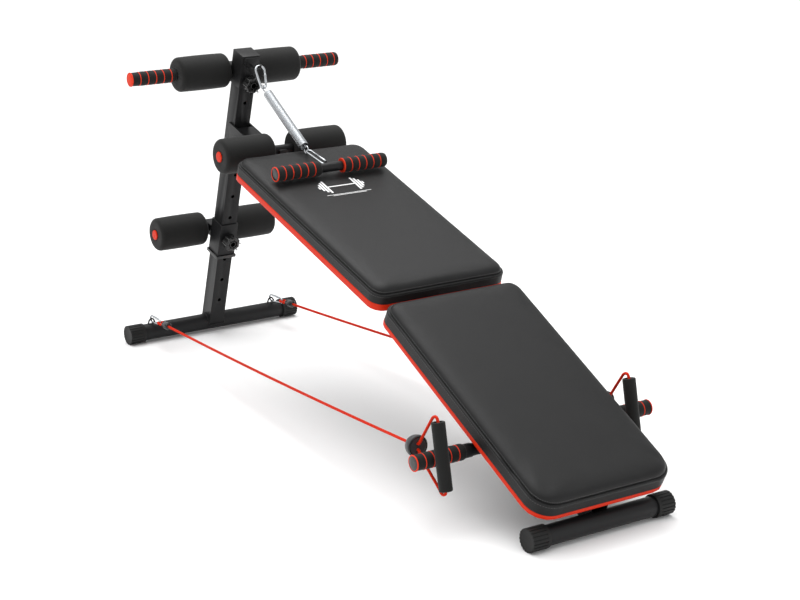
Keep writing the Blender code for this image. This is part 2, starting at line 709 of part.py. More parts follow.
def pull_bar_group():
    way = (SPRING_END - SPRING_TOP).normalized()
    ring_centre = SPRING_END + way * (RING_R + RING_WIRE + GAP)
    place(ring("spring_ring", Vector(), RING_R, RING_WIRE), None, ring_centre, (0, 0, 0), bright_metal)
    pull = (PULL_BAR - ring_centre).normalized()
    clip_start = ring_centre + pull * (RING_R - RING_WIRE - CLIP_WIRE - GAP)
    eye_centre = PULL_BAR - pull * (PULL_BAR_R + BAR_EYE_R - 0.0012)
    clip_end = eye_centre + pull * (-BAR_EYE_R + BAR_EYE_WIRE + CLIP_WIRE + GAP)
    run = clip_end - clip_start
    clip = tapered_loop(run.length, CLIP_HALF, CLIP_HALF)
    place(wire("snap_clip", clip, CLIP_WIRE, True), None, clip_start, direction_turn(run), bright_metal)
    half = PULL_GRIP[1] - GRIP_END - GAP
    bore = PULL_BAR_R - 0.0018
    step = PULL_GRIP[0] - GAP
    inner = ROD_R - 0.0010
    profile = [(inner, half), (inner, step), (PULL_BAR_R, step), (PULL_BAR_R, -step), (inner, -step),
               (inner, -half), (bore - 0.001, -half), (bore - 0.001, half)]
    bar = place(turned("pull_bar", profile, 24, True), None, PULL_BAR, along_y(), powder_coat)
    eye = place(ring("bar_eye", eye_centre, BAR_EYE_R, BAR_EYE_WIRE, 14), None, group=tools)
    combine(bar, as_mesh(eye), "UNION")
    for label, side in SIDES:
        grip("pull_grip_" + label, None, PULL_BAR, side, PULL_GRIP, GRIP_R, inner + GAP)


hook_plate()
carabiner()
pull_spring()
pull_bar_group()


# ---------------------------------------------------------------- front hand grips
def front_grips():
    """Tube across the beam with collars; the foam grips slide on from both ends."""
    bore = ROD_R - ROD_WALL
    end = FRONT_GRIP[1] - GRIP_END - GAP
    near, far = COLLAR
    half = [(ROD_R, end), (ROD_R, far), (COLLAR_R, far), (COLLAR_R, near), (GRIP_BAR_R, near)]
    profile = half + [(r, -y) for r, y in reversed(half)] + [(bore, -end), (bore, end)]
    place(turned("front_grip_bar", profile, 24, True), None, (GRIP_BAR_X, 0, GRIP_BAR_Z), along_y(),
          powder_coat)
    for label, side in SIDES:
        grip("front_grip_" + label, None, (GRIP_BAR_X, 0, GRIP_BAR_Z), side, FRONT_GRIP, GRIP_R, ROD_R + GAP)


front_grips()


# ---------------------------------------------------------------- resistance ropes
def smooth_path(points, count):
    """Even points on a Catmull-Rom curve through the route's own points."""
    dense = []
    last = len(points) - 1
    for k in range(last):
        p0, p1 = points[max(k - 1, 0)], points[k]
        p2, p3 = points[k + 1], points[min(k + 2, last)]
        for j in range(24):
            t = j / 24
            dense.append(0.5 * (2 * p1 + (p2 - p0) * t + (2 * p0 - 5 * p1 + 4 * p2 - p3) * t * t
                                + (3 * p1 - p0 - 3 * p2 + p3) * t ** 3))
    dense.append(points[-1])
    reach = [0.0]
    for a, b in zip(dense, dense[1:]):
        reach.append(reach[-1] + (b - a).length)
    result = []
    k = 0
    for j in range(count):
        goal = reach[-1] * j / (count - 1)
        while k < len(reach) - 2 and reach[k + 1] < goal:
            k += 1
        share = (goal - reach[k]) / (reach[k + 1] - reach[k])
        result.append(dense[k].lerp(dense[k + 1], share))
    return result


def resistance_rope(label, side):
    y = HANDLE_Y[label]
    eye_top = Vector((REAR_BASE_X, side * EYE_Y, CAP_R + TUBE_R + EYE_RISE - EYE_WIRE))
    stopper = Vector((STOPPER_X, y, STOPPER_Z))
    pull = (stopper - eye_top).normalized()
    flat = math.atan2(pull.y, pull.x)
    rise = math.asin(pull.z)
    # links lie in the upright plane of the rope; local -Z of a loop points along the pull
    turn = (Matrix.Rotation(flat, 4, "Z") @ Matrix.Rotation(-rise, 4, "Y")
            @ Matrix.Rotation(-math.pi / 2, 4, "Y"))
    link_turn = turn @ Matrix.Rotation(math.pi / 2, 4, "Z")
    link_start = eye_top - pull * (EYE_WIRE + LINK_WIRE + GAP)
    link = tapered_loop(LINK_LENGTH, LINK_HALF, LINK_HALF)
    place(wire("rope_carabiner_" + label, link, LINK_WIRE, True), None, link_start,
          link_turn.to_euler(), bright_metal)
    # clamp: a short barrel with the folded rope's loop standing out of its rear end
    loop_tip = link_start + pull * (LINK_LENGTH - LINK_WIRE - ROPE_R - GAP)
    clamp_start = loop_tip + pull * ROPE_LOOP
    end_r = CLAMP_R - CLAMP_EDGE
    barrel = turned("rope_clamp_" + label, [(0, 0), (end_r, 0), (CLAMP_R, -CLAMP_EDGE),
                                            (CLAMP_R, CLAMP_EDGE - CLAMP), (end_r, -CLAMP), (0, -CLAMP)], 12)
    place(barrel, None, clamp_start, turn.to_euler(), black_plastic)
    reach = ROPE_LOOP + CLAMP_SINK
    loop = [Vector((LOOP_FOOT, 0, -reach))]
    for angle in (math.pi * k / 8 for k in range(9)):
        loop.append(Vector((LOOP_R * math.cos(angle), 0, LOOP_R * (math.sin(angle) - 1))))
    loop.append(Vector((-LOOP_FOOT, 0, -reach)))
    rope_loop = wire("rope_loop", loop, ROPE_R)
    place(rope_loop, None, loop_tip, link_turn.to_euler(), group=tools)
    combine(barrel, as_mesh(rope_loop), "UNION")
    # elastic cord from the clamp to the stopper
    start = clamp_start + pull * (CLAMP + GAP)
    finish = stopper - pull * (STOPPER_DOME + GAP)
    route = []
    for k in range(17):
        t = k / 16
        point = start.lerp(finish, t)
        point.z -= ROPE_SAG * 4 * t * (1 - t)
        route.append(point)
    place(wire("rope_cord_" + label, smooth_path(route, ROPE_POINTS), ROPE_R), None,
          coat=lambda n: material(n, (0.80, 0.05, 0.02), 0.45))
    # stopper: dome to the rear, open dish to the handle
    dish = STOPPER_R - 0.003
    dome = [math.radians(10 * a) for a in range(9, -1, -1)]
    profile = [(0, -STOPPER_DISH), (dish - 0.002, -STOPPER_DISH), (dish, 0.001), (dish, STOPPER_RIM),
               (STOPPER_R, STOPPER_RIM)]
    profile += [(STOPPER_R * math.cos(a), -STOPPER_DOME * math.sin(a)) for a in reversed(dome)]
    profile[-1] = (0, -STOPPER_DOME)
    face_turn = turn @ Matrix.Rotation(math.pi, 4, "Y")
    place(turned("rope_stopper_" + label, profile, 20), None, stopper, face_turn.to_euler(), black_plastic)
    # handle and the strand through it
    middle = Vector((HANDLE_X, y, HANDLE_Z))
    rise_way = Vector((math.sin(HANDLE_TILT), 0, math.cos(HANDLE_TILT)))
    half = HANDLE_LENGTH / 2
    profile = [(HANDLE_R, half), (HANDLE_R, -half), (HANDLE_BORE, -half), (HANDLE_BORE, half)]
    place(turned("rope_handle_" + label, profile, 20, True), None, middle, (0, HANDLE_TILT, 0), black_foam)
    face = stopper + pull * (5 * GAP - STOPPER_DISH)
    lift = Vector((0, 0, STRAND_LIFT))
    ends = (face + lift, face - lift)
    top_mouth = middle + rise_way * half
    foot_mouth = middle - rise_way * half
    route = [ends[0], ends[0] + pull * 0.010, ends[0] + Vector((0.022, 0, 0.019)),
             top_mouth + Vector((-0.022, 0, -0.004)), top_mouth + Vector((-0.015, 0, 0.0045)),
             top_mouth + Vector((-0.006, 0, 0.0075)),
             top_mouth + Vector((0, 0, 0.0005)), top_mouth + rise_way * -0.020, middle,
             foot_mouth + rise_way * 0.020, foot_mouth + Vector((-0.0005, 0, -0.0015)),
             foot_mouth + Vector((-0.006, 0, -0.0090)), foot_mouth + Vector((-0.015, 0, -0.0090)),
             foot_mouth + Vector((-0.024, 0, -0.001)), ends[1] + Vector((0.022, 0, -0.014)),
             ends[1] + pull * 0.010, ends[1]]
    place(wire("handle_strand_" + label, smooth_path(route, 64), ROPE_R), None,
          coat=lambda n: material(n, (0.80, 0.05, 0.02), 0.45))


for label, side in SIDES:
    resistance_rope(label, side)
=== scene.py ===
import json
import math

import bmesh
import bpy
import numpy as np
from mathutils import Matrix, Vector


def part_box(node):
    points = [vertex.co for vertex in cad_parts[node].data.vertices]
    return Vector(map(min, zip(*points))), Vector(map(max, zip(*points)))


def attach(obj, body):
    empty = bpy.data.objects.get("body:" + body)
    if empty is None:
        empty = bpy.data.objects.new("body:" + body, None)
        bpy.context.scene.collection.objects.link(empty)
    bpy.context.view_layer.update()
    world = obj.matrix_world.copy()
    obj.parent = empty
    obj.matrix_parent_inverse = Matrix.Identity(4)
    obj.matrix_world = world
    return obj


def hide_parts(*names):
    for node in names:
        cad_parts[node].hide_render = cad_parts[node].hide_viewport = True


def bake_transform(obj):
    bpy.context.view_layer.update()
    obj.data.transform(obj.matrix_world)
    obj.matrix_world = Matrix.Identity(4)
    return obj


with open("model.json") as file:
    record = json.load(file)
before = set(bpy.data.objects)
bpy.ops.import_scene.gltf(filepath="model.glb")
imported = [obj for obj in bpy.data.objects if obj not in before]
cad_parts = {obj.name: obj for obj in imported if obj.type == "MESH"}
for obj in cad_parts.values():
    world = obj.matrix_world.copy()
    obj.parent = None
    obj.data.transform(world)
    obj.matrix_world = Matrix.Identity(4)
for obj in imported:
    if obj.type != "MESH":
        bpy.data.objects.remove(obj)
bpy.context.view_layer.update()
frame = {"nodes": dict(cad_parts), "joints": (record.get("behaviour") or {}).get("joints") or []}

joints = {joint["name"]: joint for joint in frame["joints"]}

# ---------------------------------------------------------------- studio
# A pale seamless floor under a large overhead softbox, a wide fill on the user's
# left and a low front fill, with a long lens a little above the bench.
AIM = Vector((0.0841, 0.0, 0.2837))
DISTANCE = 4.0651
AROUND = math.radians(-33.706)
ABOVE = math.radians(16.591)
ROLL = math.radians(0.213)

back = Vector((math.cos(AROUND) * math.cos(ABOVE), math.sin(AROUND) * math.cos(ABOVE), math.sin(ABOVE)))
lens = bpy.data.cameras.new("camera")
lens.lens = 86.67
lens.sensor_width = 36.0
lens.shift_x = -0.0012
lens.shift_y = 0.0019
camera = bpy.data.objects.new("camera", lens)
camera.matrix_world = (Matrix.Translation(AIM + back * DISTANCE)
                       @ (-back).to_track_quat("-Z", "Y").to_matrix().to_4x4()
                       @ Matrix.Rotation(ROLL, 4, "Z"))
bpy.context.scene.collection.objects.link(camera)
bpy.context.scene.camera = camera


def softbox(name, at, towards, wide, high, power):
    """Rectangular area light at a place, facing a point."""
    lamp = bpy.data.lights.new(name, "AREA")
    lamp.shape = "RECTANGLE"
    lamp.size = wide
    lamp.size_y = high
    lamp.energy = power
    light = bpy.data.objects.new(name, lamp)
    light.matrix_world = (Matrix.Translation(at)
                          @ (Vector(towards) - Vector(at)).to_track_quat("-Z", "Y").to_matrix().to_4x4())
    bpy.context.scene.collection.objects.link(light)


softbox("overhead", (-0.9, 0.4, 2.8), (0, 0, 0.3), 2.2, 1.4, 34)
softbox("left_fill", (0.2, -3.4, 1.7), (0, 0, 0.3), 2.6, 1.6, 10)
softbox("front_fill", (3.6, 0.8, 1.2), (0, 0, 0.3), 2.0, 1.6, 8)
ceiling = bpy.data.lights.new("ceiling", "SUN")
ceiling.energy = 1.7
ceiling.angle = math.radians(70)
ceiling_light = bpy.data.objects.new("ceiling", ceiling)
ceiling_light.rotation_euler = (math.radians(10), math.radians(-8), 0)
bpy.context.scene.collection.objects.link(ceiling_light)

world = bpy.data.worlds.new("studio")
world.use_nodes = True
world.node_tree.nodes["Background"].inputs["Color"].default_value = (1, 1, 1, 1)
world.node_tree.nodes["Background"].inputs["Strength"].default_value = 0.74
bpy.context.scene.world = world
bpy.context.scene.view_settings.view_transform = "Standard"


class Shade:
    """One value, colour or vector of a material: arithmetic on it adds Math nodes."""

    def __init__(self, tree, socket=None):
        self.tree = tree
        self.socket = socket

    def node(self, kind, settings=None, inputs=None, output=0):
        """Adds a node: settings first, then values or links for its sockets."""
        made = self.tree.nodes.new(kind)
        for name, value in (settings or {}).items():
            if name == "stops":
                stops = made.color_ramp.elements
                stops.remove(stops[-1])
                for k, (place, colour) in enumerate(value):
                    stop = stops[0] if k == 0 else stops.new(place)
                    stop.position = place
                    stop.color = (*colour, 1)
            else:
                setattr(made, name, value)
        for name, value in (inputs or {}).items():
            if isinstance(value, Shade):
                self.tree.links.new(value.socket, made.inputs[name])
            else:
                made.inputs[name].default_value = value
        return Shade(self.tree, made.outputs[output])

    def math(self, operation, *values):
        return self.node("ShaderNodeMath", {"operation": operation}, dict(enumerate(values)))

    def __add__(self, other):
        return self.math("ADD", self, other)

    def __sub__(self, other):
        return self.math("SUBTRACT", self, other)

    def __mul__(self, other):
        return self.math("MULTIPLY", self, other)

    def __abs__(self):
        return self.math("ABSOLUTE", self)

    def __gt__(self, other):
        return self.math("GREATER_THAN", self, other)

    def __lt__(self, other):
        return self.math("LESS_THAN", self, other)


class Finish:
    """A material: plain values on its shader's own sockets, and what varies fed through feed()."""

    def __init__(self, name, colour, **plain):
        self.material = bpy.data.materials.new(name)
        self.material.use_nodes = True
        self.tree = self.material.node_tree
        self.shader = self.tree.nodes["Principled BSDF"]
        self.shader.inputs["Base Color"].default_value = (*colour, 1)
        for socket, value in plain.items():
            self.shader.inputs[socket.replace("_", " ")].default_value = value
        self.place = Shade(self.tree).node("ShaderNodeTexCoord", output="Object")

    def noise(self, scale, detail=2.0):
        """Smooth noise from 0 to 1 with features of about 1 / scale metres."""
        return self.place.node("ShaderNodeTexNoise", {}, {
            "Vector": self.place, "Scale": scale, "Detail": detail})

    def feed(self, socket, shade):
        self.tree.links.new(shade.socket, self.shader.inputs[socket])

    def mixed(self, mask, low, high):
        """Colour that goes from low to high with the mask."""
        first = low if isinstance(low, Shade) else (*low, 1)
        return self.place.node("ShaderNodeMix", {"data_type": "RGBA"}, {0: mask, 6: first, 7: (*high, 1)}, 2)

    def tint(self, mask, low, high):
        """Base colour that goes from low to high with the mask."""
        self.feed("Base Color", self.mixed(mask, low, high))

    def relief(self, height, distance, strength=1.0):
        """Fine relief: the height from 0 to 1 stands for the distance in metres."""
        self.feed("Normal", self.place.node("ShaderNodeBump", {}, {
            "Height": height, "Distance": distance, "Strength": strength}))


floor_finish = Finish("pale_floor", (0.90, 0.90, 0.90), Roughness=0.9)
floor_finish.tint(floor_finish.noise(0.8), (0.89, 0.89, 0.89), (0.91, 0.91, 0.91))
bpy.ops.object.select_all(action="DESELECT")
bpy.ops.mesh.primitive_plane_add(size=60, location=(0, 0, -0.0005))
floor = bpy.context.object
floor.name = "floor"
floor.data.materials.append(floor_finish.material)

# ---------------------------------------------------------------- black steel
# Tubes and plates of mild steel, cut, welded and coated with satin black powder,
# which leaves a fine pebbled skin, soft highlights and rounded edges.
powder_coat = Finish("satin_powder_coat", (0.010, 0.010, 0.011), Specular_IOR_Level=0.24)
cloud = powder_coat.noise(22, 3)
pebble = powder_coat.noise(1400, 2)
powder_coat.tint(cloud, (0.007, 0.007, 0.0074), (0.011, 0.011, 0.0117))
powder_coat.feed("Roughness", cloud * 0.10 + pebble * 0.06 + 0.34)
powder_coat.relief(pebble, 0.00006, 0.6)


def pick(piece):
    """Selects this piece alone and makes it the active one."""
    bpy.ops.object.select_all(action="DESELECT")
    piece.select_set(True)
    bpy.context.view_layer.objects.active = piece


def edit(piece):
    pick(piece)
    bpy.ops.object.mode_set(mode="EDIT")


def leave_edit():
    bpy.ops.object.mode_set(mode="OBJECT")


def smooth(piece, degrees=40):
    pick(piece)
    bpy.ops.object.shade_smooth_by_angle(angle=math.radians(degrees))


def rounded(piece, width, degrees=35, segments=3):
    """Rounds the piece's sharp edges; short edges, such as a hole's rim, get less."""
    weights = piece.data.attributes.new("bevel_weight_edge", "FLOAT", "EDGE")
    shape = bmesh.new()
    shape.from_mesh(piece.data)
    for k, edge in enumerate(shape.edges):
        sharp = len(edge.link_faces) == 2 and edge.calc_face_angle() > math.radians(degrees)
        weights.data[k].value = min(1.0, edge.calc_length() / (8 * width)) if sharp else 0.0
    shape.free()
    step = piece.modifiers.new("round", "BEVEL")
    step.width = width
    step.segments = segments
    step.limit_method = "WEIGHT"
    step.use_clamp_overlap = True
    pick(piece)
    bpy.ops.object.modifier_apply(modifier="round")


def settle(piece, name, body, slot, finish, *nodes):
    """A finished piece: its place goes into its mesh, and it rides on its body, if it is given one."""
    pick(piece)
    bpy.ops.object.transform_apply(location=True, rotation=True, scale=True)
    piece.name = name
    piece.data.name = name
    piece.data.materials.clear()
    piece.data.materials.append(finish.material)
    if nodes:
        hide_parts(*nodes)
    if body:
        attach(piece, body)
    return piece


def from_cad(node):
    """Copy of a CAD node with its triangles merged back into flat faces."""
    piece = bpy.data.objects.new(node + "_made", frame["nodes"][node].data.copy())
    bpy.context.scene.collection.objects.link(piece)
    edit(piece)
    bpy.ops.mesh.select_all(action="SELECT")
    bpy.ops.mesh.remove_doubles(threshold=0.00001)
    bpy.ops.mesh.dissolve_limited(angle_limit=math.radians(1.5))
    leave_edit()
    return piece


STEEL = {"frame": ("rear_base_tube", "front_base_tube", "upright_tube", "bracket_plate_left",
                   "bracket_plate_right", "main_beam", "knee_roller_tube", "front_grip_bar"),
         "ankle_carriage": ("ankle_sleeve", "ankle_roller_tube"),
         "top_carriage": ("top_sleeve", "top_bar", "hook_plate"),
         "pull_bar": ("pull_bar",)}
STEEL_EDGE = 0.0012
for body, nodes in STEEL.items():
    for node in nodes:
        steel = from_cad(node)
        rounded(steel, STEEL_EDGE)
        smooth(steel)
        settle(steel, node + "_steel", body, "frame_paint", powder_coat, node)

# ---------------------------------------------------------------- weld at the upright's foot
# The upright is coped over the rear base tube and welded all round: a rippled
# bead of steel under the same powder coat.
up = Vector(joints["ankle_carriage_slide"]["axis"]).normalized()
out = Vector(joints["ankle_knob_turn"]["axis"]).normalized()
WELD_RADIUS = 0.0021
WELD_LIFT = 0.0010
WELD_RIPPLE = 0.0004
WELD_STEPS = 48
UPRIGHT_HALF = 0.0200


def tube(name, route, radius, sides=10, closed=False):
    """Round tube along a route, of one radius or a list of them.

    Its "lay" attribute holds the run in metres, then the cosine and sine of the angle round the tube.
    """
    points = [Vector(p) for p in route]
    count = len(points)
    tangents = []
    for k in range(count):
        if closed:
            ahead, behind = points[(k + 1) % count], points[k - 1]
        else:
            ahead, behind = points[min(k + 1, count - 1)], points[max(k - 1, 0)]
        tangents.append((ahead - behind).normalized())
    radii = radius if isinstance(radius, list) else [radius] * count
    side = tangents[0].orthogonal()
    run = 0.0
    spots, lays = [], []
    for k in range(count):
        side = (side - tangents[k] * side.dot(tangents[k])).normalized()
        other = tangents[k].cross(side)
        run += (points[k] - points[k - 1]).length if k else 0.0
        for j in range(sides):
            angle = 2 * math.pi * j / sides
            spots.append(points[k] + radii[k] * (side * math.cos(angle) + other * math.sin(angle)))
            lays.append((run, math.cos(angle), math.sin(angle)))
    faces = []
    for k in range(count if closed else count - 1):
        near, far = k * sides, (k + 1) % count * sides
        faces += [(near + j, near + (j + 1) % sides, far + (j + 1) % sides, far + j) for j in range(sides)]
    if not closed:
        faces.append(tuple(reversed(range(sides))))
        faces.append(tuple((count - 1) * sides + j for j in range(sides)))
    mesh = bpy.data.meshes.new(name)
    mesh.from_pydata(spots, [], faces)
    lay = mesh.attributes.new("lay", "FLOAT_VECTOR", "POINT")
    lay.data.foreach_set("vector", np.array(lays, dtype=np.float32).ravel())
    piece = bpy.data.objects.new(name, mesh)
    bpy.context.scene.collection.objects.link(piece)
    smooth(piece, 50)
    return piece


def box_middle(node):
    low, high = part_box(node)
    return (low + high) / 2


foot = box_middle("rear_base_cap_left")
foot.y = 0.0
base_radius = (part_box("front_base_tube")[1].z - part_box("front_base_tube")[0].z) / 2
weld_route = []
for k in range(WELD_STEPS):
    angle = 2 * math.pi * k / WELD_STEPS
    stretch = UPRIGHT_HALF / max(abs(math.cos(angle)), abs(math.sin(angle)))
    n, y = stretch * math.cos(angle), stretch * math.sin(angle)
    rise = math.sqrt(max(base_radius ** 2 - n ** 2, 0.0)) + WELD_LIFT
    ripple = WELD_RIPPLE * math.sin(9 * angle)
    weld_route.append(foot + up * rise + out * n * 1.02 + Vector((0, y * 1.03 + ripple, 0)))
weld = tube("upright_weld", weld_route, WELD_RADIUS, 8, True)
settle(weld, "upright_weld", "frame", "frame_paint", powder_coat)

# ---------------------------------------------------------------- base end caps
# Moulded rubber cups pressed over the ends of both base tubes: a plain collar at
# the mouth, ribs along the side and a flat end inside a fine raised rim.
RIBS = 20
RIB_HEIGHT = 0.0015
COLLAR = 0.0070
RIM = 0.0022
RIM_DEPTH = 0.0003
moulded = Finish("moulded_rubber", (0.010, 0.010, 0.010), Specular_IOR_Level=0.25)
bloom = moulded.noise(60, 3)
moulded.tint(bloom, (0.007, 0.007, 0.007), (0.013, 0.013, 0.0125))
moulded.feed("Roughness", bloom * 0.12 + 0.52)
moulded.relief(moulded.noise(2600, 1), 0.00005, 0.5)


def choose(kind, test):
    """In edit mode, selects only the points, edges or faces that pass the test."""
    bpy.ops.mesh.select_mode(type=kind)
    bpy.ops.mesh.select_all(action="DESELECT")
    shape = bmesh.from_edit_mesh(bpy.context.object.data)
    items = {"VERT": shape.verts, "EDGE": shape.edges, "FACE": shape.faces}[kind]
    for item in items:
        if test(item):
            item.select_set(True)
    shape.select_flush_mode()
    bmesh.update_edit_mesh(bpy.context.object.data)


def around(spot):
    """Angle of a point round local Z, from 0 to 1."""
    return math.atan2(spot.y, spot.x) / (2 * math.pi) % 1.0


def is_rib(face):
    spot = face.calc_center_median()
    beside = spot.z < COLLAR or int(around(spot) * 4 * RIBS) % 4 < 3
    return abs(face.normal.z) < 0.5 and beside


def fitted(model, node, name, finish, slot, body, way=0):
    """Copy of a round piece on a CAD node's axis, its local Z to the bench's outer side or the given way."""
    copy = model.copy()
    copy.data = model.data.copy()
    bpy.context.scene.collection.objects.link(copy)
    spot = box_middle(node)
    sign = way or (1 if spot.y > 0 else -1)
    spot.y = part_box(node)[0 if sign > 0 else 1].y
    copy.matrix_world = Matrix.Translation(spot) @ Matrix.Rotation(-sign * math.pi / 2, 4, "X")
    return settle(copy, name, body, slot, finish, node)


cap_low, cap_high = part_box("front_base_cap_left")
cap_radius = (cap_high.x - cap_low.x) / 2
cap_length = cap_high.y - cap_low.y
bpy.ops.object.select_all(action="DESELECT")
bpy.ops.mesh.primitive_cylinder_add(vertices=4 * RIBS, radius=cap_radius - RIB_HEIGHT, depth=cap_length,
                                    location=(0, 0, cap_length / 2))
cap = bpy.context.object
bpy.ops.object.transform_apply(location=True)
edit(cap)
bpy.ops.mesh.select_all(action="SELECT")
bpy.ops.mesh.bisect(plane_co=(0, 0, COLLAR), plane_no=(0, 0, 1))
choose("FACE", is_rib)
bpy.ops.mesh.extrude_region_shrink_fatten(TRANSFORM_OT_shrink_fatten={"value": RIB_HEIGHT})
choose("FACE", lambda face: face.normal.z > 0.9 and face.calc_center_median().z > cap_length - 0.0001)
bpy.ops.mesh.inset(thickness=RIM)
bpy.ops.mesh.extrude_region_move(TRANSFORM_OT_translate={"value": (0, 0, -RIM_DEPTH)})
leave_edit()
rounded(cap, 0.0008, 40, 2)
smooth(cap, 30)
for end in ("rear", "front"):
    for side in ("left", "right"):
        node = f"{end}_base_cap_{side}"
        fitted(cap, node, node + "_ribbed", moulded, "cap_rubber", "frame")
bpy.data.objects.remove(cap)

# ---------------------------------------------------------------- bright fasteners
# Zinc plated bolts through the upright and both bracket plates, drawn tight so that
# the plates clamp the tube.
plate = Finish("zinc_plate", (0.72, 0.73, 0.74), Metallic=1.0)
haze = plate.noise(90, 4)
plate.tint(haze, (0.62, 0.63, 0.64), (0.80, 0.81, 0.82))
plate.feed("Roughness", haze * 0.16 + 0.14)
for label in ("upper", "lower"):
    bolt = from_cad("bracket_bolt_" + label)
    rounded(bolt, 0.0006)
    smooth(bolt)
    settle(bolt, f"bracket_bolt_{label}_plated", "frame", "bright_steel", plate, "bracket_bolt_" + label)

# ---------------------------------------------------------------- pad boards
# A pressed board under each pad, edged in bright red plastic; its underside is
# covered with black backing cloth.
red_shell = Finish("red_plastic", (0.60, 0.024, 0.005), Specular_IOR_Level=0.15)
flow = red_shell.noise(35, 2)
red_shell.tint(flow, (0.56, 0.020, 0.003), (0.64, 0.029, 0.006))
red_shell.feed("Roughness", flow * 0.1 + 0.36)
red_shell.relief(red_shell.noise(1800, 1), 0.00003, 0.4)
backing = Finish("backing_cloth", (0.02, 0.02, 0.02), Roughness=0.9)
weave = backing.place.node("ShaderNodeTexChecker", {}, {"Vector": backing.place, "Scale": 900.0}, 1)
backing.tint(weave, (0.014, 0.014, 0.014), (0.030, 0.030, 0.030))
backing.relief(weave, 0.0002, 0.5)


def underside(mesh):
    """The largest face that looks down."""
    return max((face for face in mesh.polygons if face.normal.z < 0), key=lambda face: face.area)


for label in ("upper_pad", "lower_pad"):
    board = from_cad(label + "_board")
    rounded(board, 0.0030, 35, 4)
    smooth(board)
    settle(board, label + "_board_edged", "frame", "red_plastic", red_shell, label + "_board")
    board.data.materials.append(backing.material)
    under = underside(board.data)
    for face in board.data.polygons:
        if face.normal.dot(under.normal) > 0.999:
            face.material_index = 1

# ---------------------------------------------------------------- pads
# Foam cut to the board and pulled tight in black vinyl, sewn from a top panel and a
# side band: the seam runs between two rows of grey stitches.
vinyl = Finish("black_vinyl", (0.011, 0.011, 0.011), Specular_IOR_Level=0.21)
cells = vinyl.place.node("ShaderNodeTexVoronoi", {"feature": "DISTANCE_TO_EDGE"}, {
    "Vector": vinyl.place, "Scale": 620.0})
grain = vinyl.place.node("ShaderNodeMapRange", {}, {0: cells, 1: 0.0, 2: 0.12, 3: 0.0, 4: 1.0})
mottle = vinyl.noise(14, 3)
vinyl.relief(grain * 0.7 + vinyl.noise(2200, 2) * 0.3, 0.00012, 0.7)

# printed on the upper pad: a small white dumbbell over a fine line
MARK_FROM_EDGE = 0.190
MARK_BARS = ((0.0340, 0.0017, 0.0), (0.0560, 0.0007, 0.0350), (0.0420, 0.0007, 0.0385))
MARK_PLATES = ((0.0365, 0.0024, 0.0260), (0.0435, 0.0024, 0.0210), (0.0500, 0.0022, 0.0140),
               (0.0555, 0.0016, 0.0050))
mark_start = min(vertex.co.dot(out) for vertex in frame["nodes"]["upper_pad"].data.vertices)
mark_down = vinyl.place.node("ShaderNodeVectorMath", {"operation": "DOT_PRODUCT"}, {
    0: vinyl.place, 1: out}, 1) - (mark_start + MARK_FROM_EDGE)
mark_side = abs(vinyl.place.node("ShaderNodeSeparateXYZ", {}, {0: vinyl.place}, 1))
ink = None
for half_width, half_height, drop in MARK_BARS:
    bar = (abs(mark_down - drop) < half_height) * (mark_side < half_width)
    ink = bar if ink is None else ink.math("MAXIMUM", ink, bar)
for middle_side, half_width, half_height in MARK_PLATES:
    disc = (abs(mark_side - middle_side) < half_width) * (abs(mark_down) < half_height)
    ink = ink.math("MAXIMUM", ink, disc)
ink = ink * (vinyl.noise(900, 2) > 0.28)
vinyl_tone = vinyl.mixed(mottle, (0.008, 0.008, 0.0082), (0.013, 0.013, 0.0132))
vinyl.tint(ink, vinyl_tone, (0.86, 0.86, 0.86))
vinyl.feed("Roughness", mottle * 0.08 + grain * 0.06 + 0.36)

thread = Finish("grey_thread", (0.11, 0.11, 0.11), Roughness=0.6)
twist = thread.noise(1800, 1)
thread.tint(twist, (0.08, 0.08, 0.08), (0.14, 0.14, 0.14))
thread.relief(twist, 0.0001, 0.5)

PAD_VOXEL = 0.0060
PAD_SHRINK = 0.0006
PAD_CORNER = 0.0300
FAR_CORNER = {"upper_pad": PAD_CORNER, "lower_pad": 0.0480}
PAD_EDGE = 0.0100
PAD_FOLD = 0.0080
CROWN_EASE = 0.0045
SWELL = 0.0036
CLOTH_STEPS = 20
SEAM_DROP = 0.0183
SEAM_DEPTH = 0.0011
SEAM_WIDTH = 0.0010
STITCH_PITCH = 0.0052
STITCH_LENGTH = 0.0033
STITCH_RADIUS = 0.0004
STITCH_ROWS = (-0.0042, 0.0042)


def middle(edge):
    return (edge.verts[0].co + edge.verts[1].co) / 2


def seat_frame(node):
    """A pad's own frame: local Z square to its flat underside, X down the bench from its upper end."""
    mesh = frame["nodes"][node].data
    top = -underside(mesh).normal
    turn = Matrix((Vector((0, 1, 0)).cross(top), (0, 1, 0), top)).transposed().to_4x4()
    places = [turn.inverted() @ vertex.co for vertex in mesh.vertices]
    low = [min(place[k] for place in places) for k in range(3)]
    high = [max(place[k] for place in places) for k in range(3)]
    origin = turn @ Vector((low[0], 0, low[2]))
    return Matrix.Translation(origin) @ turn, high[0] - low[0], high[1], high[2] - low[2]


